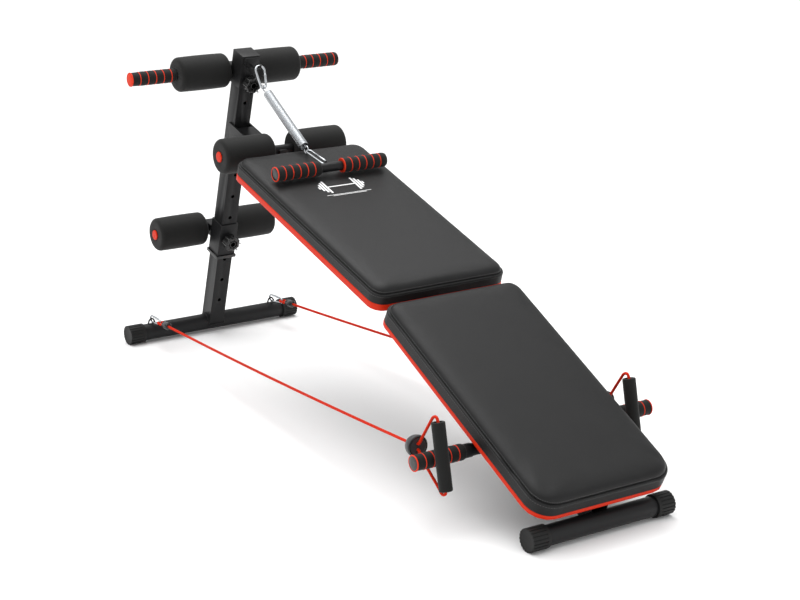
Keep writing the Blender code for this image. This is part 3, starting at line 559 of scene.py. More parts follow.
def swell(piece, held):
    """Cloth simulation: the foam's pressure fills the cover while the held points stay put."""
    group = piece.vertex_groups.new(name="held")
    group.add([v.index for v in piece.data.vertices if held(v.co)], 1.0, "REPLACE")
    start = np.array([v.co for v in piece.data.vertices])
    cover = piece.modifiers.new("cover", "CLOTH")
    cover.settings.quality = 4
    cover.settings.mass = 0.3
    cover.settings.vertex_group_mass = "held"
    cover.settings.use_pressure = True
    cover.settings.uniform_pressure_force = 4.0
    cover.settings.effector_weights.gravity = 0.0
    cover.point_cache.frame_start = 1
    cover.point_cache.frame_end = CLOTH_STEPS
    for step in range(1, CLOTH_STEPS + 1):
        bpy.context.scene.frame_set(step)
    pick(piece)
    bpy.ops.object.modifier_apply(modifier="cover")
    bpy.context.scene.frame_set(1)
    moved = np.array([v.co for v in piece.data.vertices]) - start
    far = np.linalg.norm(moved, axis=1, keepdims=True)
    moved *= np.minimum(1.0, SWELL / np.maximum(far, 1e-9))
    piece.data.vertices.foreach_set("co", (start + moved).astype(np.float32).ravel())
    piece.vertex_groups.clear()


def repeated(name, model, places):
    """One object that holds a copy of the model at each place."""
    shape = bmesh.new()
    for place in places:
        copy = model.data.copy()
        copy.transform(place)
        shape.from_mesh(copy)
        bpy.data.meshes.remove(copy)
    mesh = bpy.data.meshes.new(name)
    shape.to_mesh(mesh)
    shape.free()
    piece = bpy.data.objects.new(name, mesh)
    bpy.context.scene.collection.objects.link(piece)
    return piece


def round_the_pad(length, half, near, far, step):
    """Places every step round a pad's plan: each gives a point and the way outwards."""
    spots = []
    side = length - near - far
    runs = [((near, -half), (1, 0), side, far), ((length, far - half), (0, 1), 2 * (half - far), far),
            ((length - far, half), (-1, 0), side, near), ((0, half - near), (0, -1), 2 * (half - near), near)]
    for (x, y), (dx, dy), run, corner in runs:
        count = round(run / step)
        for k in range(count):
            reach = run * (k + 0.5) / count
            spots.append((Vector((x + dx * reach, y + dy * reach, 0)), Vector((dy, -dx, 0))))
        centre = Vector((x + dx * run - dy * corner, y + dy * run + dx * corner, 0))
        turns = round(corner * math.pi / 2 / step)
        for k in range(turns):
            angle = math.atan2(-dx, dy) + math.pi / 2 * (k + 0.5) / turns
            way = Vector((math.cos(angle), math.sin(angle), 0))
            spots.append((centre + way * corner, way))
    return spots


bpy.ops.object.select_all(action="DESELECT")
bpy.ops.mesh.primitive_uv_sphere_add(segments=6, ring_count=4, radius=1)
stitch = bpy.context.object
bpy.ops.transform.resize(value=(STITCH_LENGTH / 2, STITCH_RADIUS, STITCH_RADIUS))
bpy.ops.object.transform_apply(scale=True)
for node in ("upper_pad", "lower_pad"):
    place, length, half, height = seat_frame(node)
    far_corner = FAR_CORNER[node]
    seam = height - SEAM_DROP
    bpy.ops.object.select_all(action="DESELECT")
    tall = height - SWELL
    bpy.ops.mesh.primitive_cube_add(size=1, location=(length / 2, 0, tall / 2))
    pad = bpy.context.object
    bpy.ops.transform.resize(value=(length - 2 * PAD_SHRINK, 2 * (half - PAD_SHRINK), tall))
    bpy.ops.object.transform_apply(location=True, scale=True)
    edit(pad)
    for sign, corner in ((-1, PAD_CORNER), (1, far_corner)):
        choose("EDGE", lambda edge: abs(edge.verts[0].co.z - edge.verts[1].co.z) > tall / 2
               and (middle(edge).x - length / 2) * sign > length / 2 - corner / 2)
        bpy.ops.mesh.bevel(offset=corner, segments=10)
    choose("FACE", lambda face: face.normal.z > 0.9)
    bpy.ops.mesh.bevel(offset=PAD_EDGE, segments=5)
    leave_edit()
    remesh = pad.modifiers.new("even", "REMESH")
    remesh.mode = "VOXEL"
    remesh.voxel_size = PAD_VOXEL
    pick(pad)
    bpy.ops.object.modifier_apply(modifier="even")
    swell(pad, lambda spot: spot.z < PAD_VOXEL)
    edit(pad)
    bpy.ops.mesh.select_all(action="SELECT")
    bpy.ops.mesh.vertices_smooth(factor=0.5, repeat=6)
    leave_edit()
    finer = pad.modifiers.new("finer", "SUBSURF")
    finer.levels = 1
    finer.render_levels = 1
    bpy.ops.object.modifier_apply(modifier="finer")
    edit(pad)
    for offset in (-2.0, -1.0, -0.4, 0.0, 0.4, 1.0, 2.0):
        bpy.ops.mesh.select_all(action="SELECT")
        bpy.ops.mesh.bisect(plane_co=(0, 0, seam + offset * SEAM_WIDTH), plane_no=(0, 0, 1))
    leave_edit()
    spots = np.array([v.co for v in pad.data.vertices])
    normals = np.array([v.normal for v in pad.data.vertices])
    # the crown levels off just under the CAD's, and the underside lies flat on the board
    over = spots[:, 2] - (height - CROWN_EASE)
    eased = height - CROWN_EASE * np.exp(-over / CROWN_EASE) - 0.0002
    spots[:, 2] = np.where(over > 0, eased, spots[:, 2])
    spots[:, 2] = np.maximum(spots[:, 2], 0.0)
    # the side band comes down straight to the board's edge, with a tight fold at its foot
    corner = np.where(spots[:, 0] > length / 2, far_corner, PAD_CORNER)
    core = np.stack((np.clip(spots[:, 0], corner, length - corner),
                     np.clip(spots[:, 1], corner - half, half - corner)), axis=1)
    reach = np.linalg.norm(spots[:, :2] - core, axis=1)
    band = (spots[:, 2] > 0.0003) & (spots[:, 2] < seam) & (reach > corner - PAD_EDGE)
    push = np.where(band, np.maximum((corner - PAD_SHRINK) / np.maximum(reach, 1e-6), 1.0), 1.0)
    spots[:, :2] = core + (spots[:, :2] - core) * push[:, None]
    spots[:, 2] = np.where(band & (spots[:, 2] < PAD_FOLD), spots[:, 2] ** 2 / PAD_FOLD, spots[:, 2])
    notch = SEAM_DEPTH * np.exp(-((spots[:, 2] - seam) / SEAM_WIDTH) ** 2)
    flat_way = normals * (1, 1, 0)
    spots -= flat_way * notch[:, None]
    pad.data.vertices.foreach_set("co", spots.astype(np.float32).ravel())
    pad.data.update()
    bpy.context.view_layer.update()
    rows = []
    for point, way in round_the_pad(length, half, PAD_CORNER, far_corner, STITCH_PITCH):
        for row in STITCH_ROWS:
            seen, spot, facing, _ = pad.ray_cast(point + way * 0.03 + Vector((0, 0, seam + row)), -way)
            if seen:
                along = facing.cross(Vector((0, 0, 1))).normalized()
                turn = Matrix((along, facing.cross(along), facing)).transposed().to_4x4()
                rows.append(Matrix.Translation(spot) @ turn)
    stitches = repeated(node + "_stitches", stitch, rows)
    smooth(pad, 60)
    smooth(stitches, 60)
    for piece in (pad, stitches):
        piece.matrix_world = place @ piece.matrix_world
    settle(pad, node + "_vinyl", "frame", "pad_vinyl", vinyl, node)
    settle(stitches, node + "_stitches", "frame", "pad_vinyl", thread)
bpy.data.objects.remove(stitch)

# ---------------------------------------------------------------- foam rollers
# Sleeves of closed-cell black foam, moulded with rounded ends and slid over their
# tubes; their skin has fine pores and the faint swell of a hand-fitted part.
foam = Finish("black_foam", (0.010, 0.010, 0.0096), Specular_IOR_Level=0.15, Sheen_Weight=0.08)
pores = foam.place.node("ShaderNodeTexVoronoi", {"feature": "F1"}, {"Vector": foam.place, "Scale": 900.0})
skin = foam.noise(30, 3)
foam.tint(skin, (0.007, 0.007, 0.0067), (0.012, 0.012, 0.0116))
foam.feed("Roughness", skin * 0.12 + 0.62)
foam.relief(pores * 0.6 + foam.noise(1500, 2) * 0.4, 0.00025, 0.8)

ROLLER_SIDES = 72
ROLLER_ROUND = 0.0095
ROLLER_BELLY = 0.0006
PLUG_BORE = 0.0104


def lathe(sides, profile):
    """Closed round piece on local Z: a disc drawn out and resized through (radius, height) pairs."""
    radius, height = profile[0]
    bpy.ops.object.select_all(action="DESELECT")
    bpy.ops.mesh.primitive_circle_add(vertices=sides, radius=radius, fill_type="NGON",
                                      location=(0, 0, height))
    piece = bpy.context.object
    bpy.ops.object.transform_apply(location=True)
    edit(piece)
    bpy.ops.mesh.select_all(action="SELECT")
    for next_radius, next_height in profile[1:]:
        bpy.ops.mesh.extrude_region_move(TRANSFORM_OT_translate={"value": (0, 0, next_height - height)})
        factor = next_radius / radius
        bpy.ops.transform.resize(value=(factor, factor, 1), center_override=(0, 0, next_height))
        radius, height = next_radius, next_height
    bpy.ops.mesh.select_all(action="SELECT")
    bpy.ops.mesh.normals_make_consistent(inside=False)
    leave_edit()
    return piece


def arc(middle_radius, middle_height, radius, start, stop, steps):
    """Points of a profile on an arc; the angle is measured from the piece's radius towards its axis."""
    angles = [math.radians(start + (stop - start) * k / steps) for k in range(steps + 1)]
    return [(middle_radius + radius * math.cos(a), middle_height + radius * math.sin(a)) for a in angles]


roller_low, roller_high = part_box("knee_roller_right")
roller_length = roller_high.y - roller_low.y
roller_radius = (roller_high.x - roller_low.x) / 2
shoulder = roller_radius - ROLLER_ROUND
profile = [(PLUG_BORE, 0.0012), (PLUG_BORE + 0.004, 0.0)]
profile += arc(shoulder, ROLLER_ROUND, ROLLER_ROUND, -90, 0, 6)
straight = roller_length - 2 * ROLLER_ROUND
profile += [(roller_radius + ROLLER_BELLY * math.sin(math.pi * k / 8), ROLLER_ROUND + straight * k / 8)
            for k in range(1, 8)]
profile += arc(shoulder, roller_length - ROLLER_ROUND, ROLLER_ROUND, 0, 90, 6)
profile += [(PLUG_BORE + 0.004, roller_length), (PLUG_BORE, roller_length - 0.0012), (PLUG_BORE, 0.0060)]
roller = lathe(ROLLER_SIDES, profile)
smooth(roller, 50)
for place in ("knee", "ankle", "top"):
    for side in ("left", "right"):
        node = f"{place}_roller_{side}"
        sleeve = fitted(roller, node, node + "_foam", foam, "black_foam", node)
bpy.data.objects.remove(roller)

# ---------------------------------------------------------------- plugs and the slider's bush
# Red plugs close the ends of the roller tubes; a black nylon bush lines the foot of
# the ankle sleeve, where it slides on the upright.
nylon = Finish("black_nylon", (0.012, 0.012, 0.012), Specular_IOR_Level=0.55)
flow_mark = nylon.noise(70, 3)
nylon.tint(flow_mark, (0.008, 0.008, 0.008), (0.013, 0.013, 0.013))
nylon.feed("Roughness", flow_mark * 0.08 + 0.20)
for place in ("knee", "ankle"):
    for side in ("left", "right"):
        node = f"{place}_plug_{side}"
        plug = from_cad(node)
        rounded(plug, 0.0007)
        smooth(plug)
        body = "ankle_carriage" if place == "ankle" else "frame"
        settle(plug, node + "_moulded", body, "red_plastic", red_shell, node)
bush = from_cad("ankle_sleeve_bush")
rounded(bush, 0.0010)
smooth(bush)
settle(bush, "ankle_sleeve_bush_moulded", "ankle_carriage", "black_plastic", nylon, "ankle_sleeve_bush")

# ---------------------------------------------------------------- star knobs
# Seven-lobed knobs of glossy black plastic, moulded over a zinc plated screw that
# runs through the nut on the sleeve; the screw's end shows in the hub.
KNOB_LOBES = 7
KNOB_OUTER = 0.0212
KNOB_INNER = 0.0168
KNOB_DEPTH = 0.0195
KNOB_HUB = 0.0085
KNOB_BACK = 0.0305
LOBE_ROUND = 0.0036
FACE_ROUND = 0.0028
DISH_RIM = 0.0042
DISH_DEPTH = 0.0016
SCREW = 0.0048
bpy.ops.object.select_all(action="DESELECT")
bpy.ops.mesh.primitive_cylinder_add(vertices=2 * KNOB_LOBES, radius=KNOB_OUTER, depth=KNOB_DEPTH,
                                    location=(0, 0, KNOB_DEPTH / 2))
star = bpy.context.object
bpy.ops.object.transform_apply(location=True)
edit(star)


def between_lobes(item):
    return int(around(item.co) * 2 * KNOB_LOBES) % 2 == 1


choose("VERT", between_lobes)
bpy.ops.transform.resize(value=(KNOB_INNER / KNOB_OUTER, KNOB_INNER / KNOB_OUTER, 1),
                         center_override=(0, 0, 0))
choose("EDGE", lambda edge: abs(edge.verts[0].co.z - edge.verts[1].co.z) > KNOB_DEPTH / 2)
bpy.ops.mesh.bevel(offset=LOBE_ROUND, segments=5)
choose("FACE", lambda face: face.normal.z > 0.9)
bpy.ops.mesh.bevel(offset=FACE_ROUND, segments=4)
choose("FACE", lambda face: face.normal.z > 0.99)
bpy.ops.mesh.inset(thickness=DISH_RIM)
bpy.ops.mesh.extrude_region_move(TRANSFORM_OT_translate={"value": (0, 0, -DISH_DEPTH)})
bpy.ops.mesh.inset(thickness=DISH_RIM / 3)
leave_edit()
smooth(star, 35)
hub = lathe(28, [(KNOB_HUB, KNOB_DEPTH - 0.0095), (KNOB_HUB, KNOB_DEPTH - 0.0008),
                 (KNOB_HUB - 0.0008, KNOB_DEPTH), (SCREW + 0.0016, KNOB_DEPTH),
                 (SCREW + 0.0008, KNOB_DEPTH - 0.0030), (0.0012, KNOB_DEPTH - 0.0032)])
neck = lathe(28, [(0.0082, -0.0008), (0.0098, 0.0004), (0.0110, 0.0030)])
screw = lathe(20, [(SCREW - 0.0006, -0.0095), (SCREW, -0.0088)]
              + [(SCREW - 0.0004 * (k % 2), -0.0085 + 0.0004 * k) for k in range(1, 22)]
              + [(SCREW, KNOB_DEPTH - 0.0032), (SCREW - 0.0008, KNOB_DEPTH - 0.0022)])
for piece in (hub, neck, screw):
    smooth(piece, 35)


def joined(*pieces):
    """Copies of the pieces joined into one object."""
    copies = []
    for piece in pieces:
        copy = piece.copy()
        copy.data = piece.data.copy()
        bpy.context.scene.collection.objects.link(copy)
        copies.append(copy)
    pick(copies[0])
    for copy in copies:
        copy.select_set(True)
    bpy.ops.object.join()
    return copies[0]


lean_turn = Matrix((out.cross(Vector((0, 1, 0))), (0, 1, 0), out)).transposed().to_4x4()
for place in ("ankle", "top"):
    node = place + "_knob"
    spot = foot + up * (box_middle(node) - foot).dot(up) + out * KNOB_BACK
    head = joined(star, hub, neck)
    head.matrix_world = Matrix.Translation(spot) @ lean_turn
    settle(head, node + "_star", node, "black_plastic", nylon, node)
    stud = joined(screw)
    stud.matrix_world = Matrix.Translation(spot) @ lean_turn
    settle(stud, node + "_screw", node, "bright_steel", plate)
for piece in (star, hub, neck, screw):
    bpy.data.objects.remove(piece)

# ---------------------------------------------------------------- hand grips
# Ribbed foam grips with red rubber rings set into grooves and one more ring round an
# end; a disc closes the outer end, red on the top bar and dark on the others.  Both
# grips of the top bar and of the pull bar are pushed on the same way round.
GRIP_R = 0.0162
GRIP_SIDES = 56
RING_WIDE = 0.0021
RING_PROUD = 0.0002
RINGS = 5
RIB_STEPS = 5
RIM_WIDE = 0.0016
GRIPS = {"top": (0.0197, "top_carriage"), "front": (0.0190, "frame"), "pull": (0.0185, "pull_bar")}
red_rubber = Finish("red_rubber", (0.66, 0.036, 0.010), Specular_IOR_Level=0.15)
worn = red_rubber.noise(120, 3)
red_rubber.tint(worn, (0.60, 0.030, 0.007), (0.72, 0.044, 0.014))
red_rubber.feed("Roughness", worn * 0.15 + 0.45)
red_rubber.relief(red_rubber.noise(1600, 1), 0.00005, 0.5)


def ribbed_grip(length, pitch):
    """Foam of a grip: bulging ribs between the ring grooves, tapered at its plain end."""
    ring_places = sorted(length - RING_WIDE / 2 - pitch * (k + 1) for k in range(RINGS))
    profile = [(GRIP_R - 0.0030, 0.0), (GRIP_R - 0.0016, 0.0006), (GRIP_R - 0.0008, 0.0020)]
    last = 0.0020
    for place in ring_places:
        near, far = place - RING_WIDE / 2, place + RING_WIDE / 2
        for k in range(1, RIB_STEPS + 1):
            bulge = 0.0008 * math.sin(math.pi * k / RIB_STEPS)
            profile.append((GRIP_R - 0.0006 + bulge, last + (near - last) * k / RIB_STEPS))
        profile += [(GRIP_R - 0.0014, near), (GRIP_R - 0.0014, far), (GRIP_R - 0.0006, far)]
        last = far
    end = length - last
    profile += [(GRIP_R - 0.0006, last + end * 0.4), (GRIP_R - 0.0012, length - 0.0001),
                (GRIP_R - 0.0042, length - 0.0003), (GRIP_R - 0.0046, length - 0.0008)]
    return lathe(GRIP_SIDES, profile), ring_places


def ring_band(place):
    """One red ring: a band with softly rounded edges."""
    near, far = place - RING_WIDE / 2 + 0.0001, place + RING_WIDE / 2 - 0.0001
    outer = GRIP_R + RING_PROUD
    edge = (far - near) * 0.3
    return lathe(GRIP_SIDES, [(GRIP_R - 0.0030, near), (outer - 0.0004, near), (outer, near + edge),
                              (outer, far - edge), (outer - 0.0004, far), (GRIP_R - 0.0030, far)])


for place, (pitch, body) in GRIPS.items():
    low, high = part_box(f"{place}_grip_right")
    length = high.y - low.y
    sleeve, ring_places = ribbed_grip(length, pitch)
    bands = [ring_band(spot) for spot in ring_places]
    inner = GRIP_R - RIM_WIDE
    end_disc = lathe(GRIP_SIDES, [(inner, length - 0.0016), (inner, length - 0.0003),
                                  (inner - 0.0010, length + 0.0003), (inner - 0.0090, length + 0.0004)])
    rim = lathe(GRIP_SIDES, [(inner, length - 0.0020), (GRIP_R, length - 0.0018),
                             (GRIP_R + RING_PROUD, length - 0.0010), (GRIP_R - 0.0003, length + 0.0002),
                             (GRIP_R - 0.0008, length + 0.0005), (inner, length + 0.0001)])
    rings = joined(*bands, rim)
    for piece in (sleeve, rings, end_disc):
        smooth(piece, 40)
    way = 0 if place == "front" else -1
    disc_finish, disc_slot = (red_rubber, "red_plastic") if place == "top" else (nylon, "black_plastic")
    for side in ("left", "right"):
        node = f"{place}_grip_{side}"
        held = fitted(sleeve, node, node + "_foam", foam, "black_foam", body, way)
        fitted(rings, node, node + "_rings", red_rubber, "red_plastic", body, way)
        fitted(end_disc, node, node + "_end", disc_finish, disc_slot, body)
    for piece in (sleeve, rings, end_disc, rim, *bands):
        bpy.data.objects.remove(piece)

# ---------------------------------------------------------------- links of bright wire
# Snap links bent from bright steel wire, each with a riveted spring gate on one limb;
# one hangs the spring, one holds the pull bar and two hold the ropes.
chrome = Finish("bright_chrome", (0.52, 0.54, 0.56), Metallic=1.0)
smear = chrome.noise(140, 3)
chrome.tint(smear, (0.46, 0.48, 0.50), (0.58, 0.60, 0.62))
chrome.feed("Roughness", smear * 0.10 + 0.10)

GATE_SHARE = 0.56
GATE_SWELL = (0.98, 1.10, 1.20, 1.20, 1.10, 0.98)
GATE_SIDE = Vector((0.3, 1.0, 0.2))


def cad_wire(node):
    """A CAD wire loop's centre, long way, side way, and half sizes along those and through its plane."""
    spots = np.array([v.co for v in frame["nodes"][node].data.vertices])
    centre = spots.mean(axis=0)
    ways = np.linalg.svd(spots - centre, full_matrices=False)[2]
    reach = (spots - centre) @ ways.T
    middle_spot = centre + ((reach.max(axis=0) + reach.min(axis=0)) / 2) @ ways
    return Vector(middle_spot), Vector(ways[0]), Vector(ways[1]), (reach.max(axis=0) - reach.min(axis=0)) / 2


def snap_link(node, wire, top_half, foot_half, top_way):
    """Pear-shaped loop of round wire in the plane of its CAD loop, its gate on the GATE_SIDE limb."""
    centre, along, across, half = cad_wire(node)
    if along.dot(top_way) < 0:
        along = -along
    if across.dot(GATE_SIDE) < 0:
        across = -across
    top = half[0] - wire - top_half
    low = half[0] - wire - foot_half
    head, toe = [], []
    for k in range(13):
        long_share, side_share = math.sin(math.pi * k / 12), math.cos(math.pi * k / 12)
        head.append(centre + along * (top + top_half * long_share) + across * top_half * side_share)
        toe.append(centre - along * (low + foot_half * long_share) - across * foot_half * side_share)
    limb = [head[-1].lerp(toe[0], k / 6) for k in range(1, 6)]
    limb_back = [toe[-1].lerp(head[0], k / 6) for k in range(1, 6)]
    loop = tube(node + "_loop", head + limb + toe + limb_back, wire, 14, True)
    start, end = toe[-1], head[0]
    room = (1 - GATE_SHARE) / 2
    near, far = start.lerp(end, room * 0.8), start.lerp(end, 1 - room * 1.2)
    run = (far - near).normalized()
    fine = wire * 0.16
    gate_route = [near, near + run * fine, near + run * 3 * fine,
                  far - run * 3 * fine, far - run * fine, far]
    gate = tube(node + "_gate", gate_route, [wire * share for share in GATE_SWELL], 16)
    facing = along.cross(across)
    pin = near + run * wire * 1.2
    rivet_route = [pin + facing * wire * reach for reach in (-1.5, -1.35, 1.35, 1.5)]
    rivet = tube(node + "_rivet", rivet_route, [wire * share for share in (0.34, 0.50, 0.50, 0.34)], 12)
    nose = far - run * wire * 0.9
    slot_ring = tube(node + "_nose", [nose - run * wire * 0.18, nose + run * wire * 0.18], wire * 1.28, 16)
    link = joined(loop, gate, rivet, slot_ring)
    for piece in (loop, gate, rivet, slot_ring):
        bpy.data.objects.remove(piece)
    return link


UP = Vector((0, 0, 1))
hook_link = snap_link("spring_carabiner", wire=0.0026, top_half=0.0115, foot_half=0.0070, top_way=UP)
settle(hook_link, "spring_carabiner_link", "spring_hook", "bright_steel", chrome, "spring_carabiner")
bar_link = snap_link("snap_clip", wire=0.0022, top_half=0.0070, foot_half=0.0070, top_way=UP)
settle(bar_link, "snap_clip_link", "pull_bar", "bright_steel", chrome, "snap_clip")
for side in ("left", "right"):
    node = "rope_carabiner_" + side
    rope_link = snap_link(node, wire=0.0022, top_half=0.0080, foot_half=0.0062, top_way=Vector((-1, 0, 0)))
    settle(rope_link, node + "_link", "frame", "bright_steel", chrome, node)

# ---------------------------------------------------------------- spring and its ring
# Close-wound extension spring of plated wire, with a hook loop turned up at each end;
# a split ring joins it to the pull bar's link.
SPRING_TOP = Vector((-0.4691, 0.0, 0.6429))
SPRING_END = Vector((-0.3075, 0.0, 0.5470))
CARABINER_FOOT = Vector((-0.4850, 0.0, 0.6520))
SPRING_R = 0.0108
COIL_WIRE = 0.0012
TURNS = 78
TURN_STEPS = 16
TOP_LOOP_R = 0.0062
LOW_LOOP_R = 0.62 * TOP_LOOP_R
SPLIT_WIRE = 0.0010
SPLIT_RISE = 0.0009
axis = SPRING_END - SPRING_TOP
way = axis.normalized()
lift = Vector((way.z, 0, -way.x))
across = way.cross(lift)
mean_radius = SPRING_R - COIL_WIRE
count = TURNS * TURN_STEPS
coil = []
for k in range(count + 1):
    angle = 2 * math.pi * k / TURN_STEPS
    run = COIL_WIRE + (axis.length - 2 * COIL_WIRE) * k / count
    coil.append(SPRING_TOP + way * run + (lift * math.cos(angle) + across * math.sin(angle)) * mean_radius)
top_eye = CARABINER_FOOT + (SPRING_TOP - CARABINER_FOOT).normalized() * 0.0018
ring_low, ring_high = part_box("spring_ring")
ring_centre = (ring_low + ring_high) / 2
ring_radius = (ring_high.x - ring_low.x) / 2 - 0.0016
low_eye = SPRING_END + way * 0.0008
arc_steps = [math.radians(-150 + 300 * k / 18) for k in range(19)]
loops = []
for eye, end, sign, radius in ((top_eye, SPRING_TOP, -1, TOP_LOOP_R), (low_eye, SPRING_END, 1, LOW_LOOP_R)):
    turn_back = [eye + radius * (way * sign * math.cos(a) + lift * math.sin(a)) for a in arc_steps]
    turn_back.append(end - way * sign * 0.0015 + lift * (mean_radius - 0.0004))
    loops.append(tube("eye", turn_back, COIL_WIRE * 1.25, 10))
wound = tube("coil", coil, COIL_WIRE * 1.03, 8)
spring = joined(wound, *loops)
for piece in (wound, *loops):
    bpy.data.objects.remove(piece)
settle(spring, "pull_spring_wound", None, "bright_steel", chrome, "pull_spring")
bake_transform(spring)
split = []
for k in range(49):
    angle = 4 * math.pi * k / 48
    reach = Vector((math.cos(angle), 0, math.sin(angle))) * ring_radius
    split.append(ring_centre + reach + Vector((0, SPLIT_RISE * (k / 24 - 1), 0)))
ring = tube("spring_ring_split", split, SPLIT_WIRE, 12)
settle(ring, "spring_ring_split", "spring_end", "bright_steel", chrome, "spring_ring")

# ---------------------------------------------------------------- rope cords
# Elastic cords under a braided red sheath.  Each is folded into a loop at the rear,
# held by a crimped clamp, and runs taut to the stopper ahead of its handle.
braid = Finish("red_braid", (0.58, 0.018, 0.002), Specular_IOR_Level=0.1)
lay = braid.place.node("ShaderNodeAttribute", {"attribute_name": "lay"}, {}, 1)
lay_run, lay_cos, lay_sin = (braid.place.node("ShaderNodeSeparateXYZ", {}, {0: lay}, k) for k in range(3))
turned = lay_sin.math("ARCTAN2", lay_sin, lay_cos)
BRAID_PITCH = 0.0055
STRANDS = 4
phase = lay_run * (2 * math.pi / BRAID_PITCH)
right_lay = phase.math("SINE", phase + turned * STRANDS)
left_lay = phase.math("SINE", phase - turned * STRANDS)
weave = right_lay * left_lay * 0.5 + 0.5
braid.tint(right_lay > 0.72, (0.64, 0.022, 0.002), (0.32, 0.009, 0.002))
braid.feed("Roughness", weave * 0.15 + 0.50)
braid.relief(weave, 0.0004, 0.7)
crimp = Finish("crimp_metal", (0.10, 0.10, 0.105), Metallic=0.8)
crimp.feed("Roughness", crimp.noise(200, 3) * 0.15 + 0.22)
crimp.tint(crimp.noise(90, 2), (0.08, 0.08, 0.085), (0.14, 0.14, 0.145))

ROPE_R = 0.0030
LINK_LENGTH = 0.0580
LINK_WIRE = 0.0022
EYE_Y = 0.1680
EYE_RISE = 0.0140
EYE_WIRE = 0.0020
GAP = 0.0003
ROPE_LOOP = 0.0300
CLAMP = 0.0260
CLAMP_R = 0.0085
KEEPER_R = 0.0062
KEEPER_WIRE = 0.0010
STOPPER = Vector((0.5000, 0.0, 0.1410))
STOPPER_DOME = 0.0250
ROPE_SAG = 0.0050
HANDLE_Y = {"left": -0.2400, "right": 0.2200}


def smooth_path(points, count):
    """Even points on a Catmull-Rom curve through the route's own points."""
    dense = []
    last = len(points) - 1
    for k in range(last):
        p0, p1 = points[max(k - 1, 0)], points[k]
        p2, p3 = points[k + 1], points[min(k + 2, last)]
        for j in range(24):
            t = j / 24
            dense.append(0.5 * (2 * p1 + (p2 - p0) * t + (2 * p0 - 5 * p1 + 4 * p2 - p3) * t * t
                                + (3 * p1 - p0 - 3 * p2 + p3) * t ** 3))
    dense.append(points[-1])
    reach = [0.0]
    for a, b in zip(dense, dense[1:]):
        reach.append(reach[-1] + (b - a).length)
    result = []
    k = 0
    for j in range(count):
        goal = reach[-1] * j / (count - 1)
        while k < len(reach) - 2 and reach[k + 1] < goal:
            k += 1
        result.append(dense[k].lerp(dense[k + 1], (goal - reach[k]) / (reach[k + 1] - reach[k])))
    return result


def soft_cord(path):
    """Works out a taut cord's length along the path, and keeps nothing of it."""
    length = sum((b - a).length for a, b in zip(path, path[1:]))


def laid_along(piece, spot, towards):
    """Turns a round piece's local Z towards a direction and moves its origin to the spot."""
    piece.matrix_world = Matrix.Translation(spot) @ towards.to_track_quat("Z", "Y").to_matrix().to_4x4()


ropes = {}
for side, sign in (("left", -1), ("right", 1)):
    eye_top = Vector((foot.x, sign * EYE_Y, foot.z + base_radius + EYE_RISE - EYE_WIRE))
    stopper = STOPPER + Vector((0, HANDLE_Y[side], 0))
    pull = (stopper - eye_top).normalized()
    ropes[side] = (stopper, pull)
    link_start = eye_top - pull * (EYE_WIRE + LINK_WIRE + GAP)
    loop_tip = link_start + pull * (LINK_LENGTH - LINK_WIRE - ROPE_R - GAP)
    clamp_start = loop_tip + pull * ROPE_LOOP
    start = clamp_start + pull * (CLAMP + GAP)
    finish = stopper - pull * (STOPPER_DOME + GAP)
    route = []
    for k in range(17):
        share = k / 16
        point = start.lerp(finish, share)
        point.z -= ROPE_SAG * 4 * share * (1 - share)
        route.append(point)
    path = smooth_path(route, 220)
    cord = tube(f"rope_cord_{side}_braided", path, ROPE_R, 14)
    settle(cord, f"rope_cord_{side}_braided", None, "red_cord", braid, "rope_cord_" + side)
    soft_cord(path)
    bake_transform(cord)

    # the folded loop behind the clamp
    flat_way = pull.cross(UP).normalized()
    fold = [(0.0030, 0.0330), (0.0062, 0.0230), (0.0066, 0.0130), (0.0052, 0.0050), (0.0, 0.0),
            (-0.0052, 0.0050), (-0.0066, 0.0130), (-0.0062, 0.0230), (-0.0030, 0.0330)]
    bight = smooth_path([loop_tip + flat_way * a + pull * b for a, b in fold], 40)
    loop = tube("rope_loop_" + side, bight, ROPE_R * 0.96, 12)
    settle(loop, "rope_loop_" + side, "frame", "red_cord", braid, "rope_clamp_" + side)

    # the clamp: a black barrel with a collar at each end, crimped round its middle, and a keeper ring
    barrel = lathe(28, [(CLAMP_R - 0.0030, 0.0), (CLAMP_R - 0.0008, 0.0006), (CLAMP_R, 0.0022),
                        (CLAMP_R, 0.0060), (CLAMP_R - 0.0012, 0.0072), (CLAMP_R - 0.0012, CLAMP - 0.0072),
                        (CLAMP_R, CLAMP - 0.0060), (CLAMP_R, CLAMP - 0.0022),
                        (CLAMP_R - 0.0008, CLAMP - 0.0006), (CLAMP_R - 0.0030, CLAMP)])
    smooth(barrel, 40)
    laid_along(barrel, clamp_start, pull)
    settle(barrel, f"rope_clamp_{side}_barrel", "frame", "black_plastic", nylon, "rope_clamp_" + side)
    sleeve = lathe(28, [(CLAMP_R - 0.0014, 0.0074), (CLAMP_R - 0.0004, 0.0078), (CLAMP_R + 0.0001, 0.0088),
                        (CLAMP_R + 0.0001, CLAMP - 0.0088), (CLAMP_R - 0.0004, CLAMP - 0.0078),
                        (CLAMP_R - 0.0014, CLAMP - 0.0074)])
    smooth(sleeve, 40)
    laid_along(sleeve, clamp_start, pull)
    settle(sleeve, f"rope_clamp_{side}_crimp", "frame", "bright_steel", crimp)
    keeper_spot = start + pull * 0.0030 + Vector((0, 0, 0.0034))
    circle = [2 * math.pi * k / 20 for k in range(20)]
    keeper_route = [keeper_spot + KEEPER_R * (flat_way * math.cos(a) + UP * math.sin(a)) for a in circle]
    keeper = tube("rope_keeper", keeper_route, KEEPER_WIRE, 8, True)
    settle(keeper, "rope_keeper_" + side, "frame", "black_plastic", nylon)

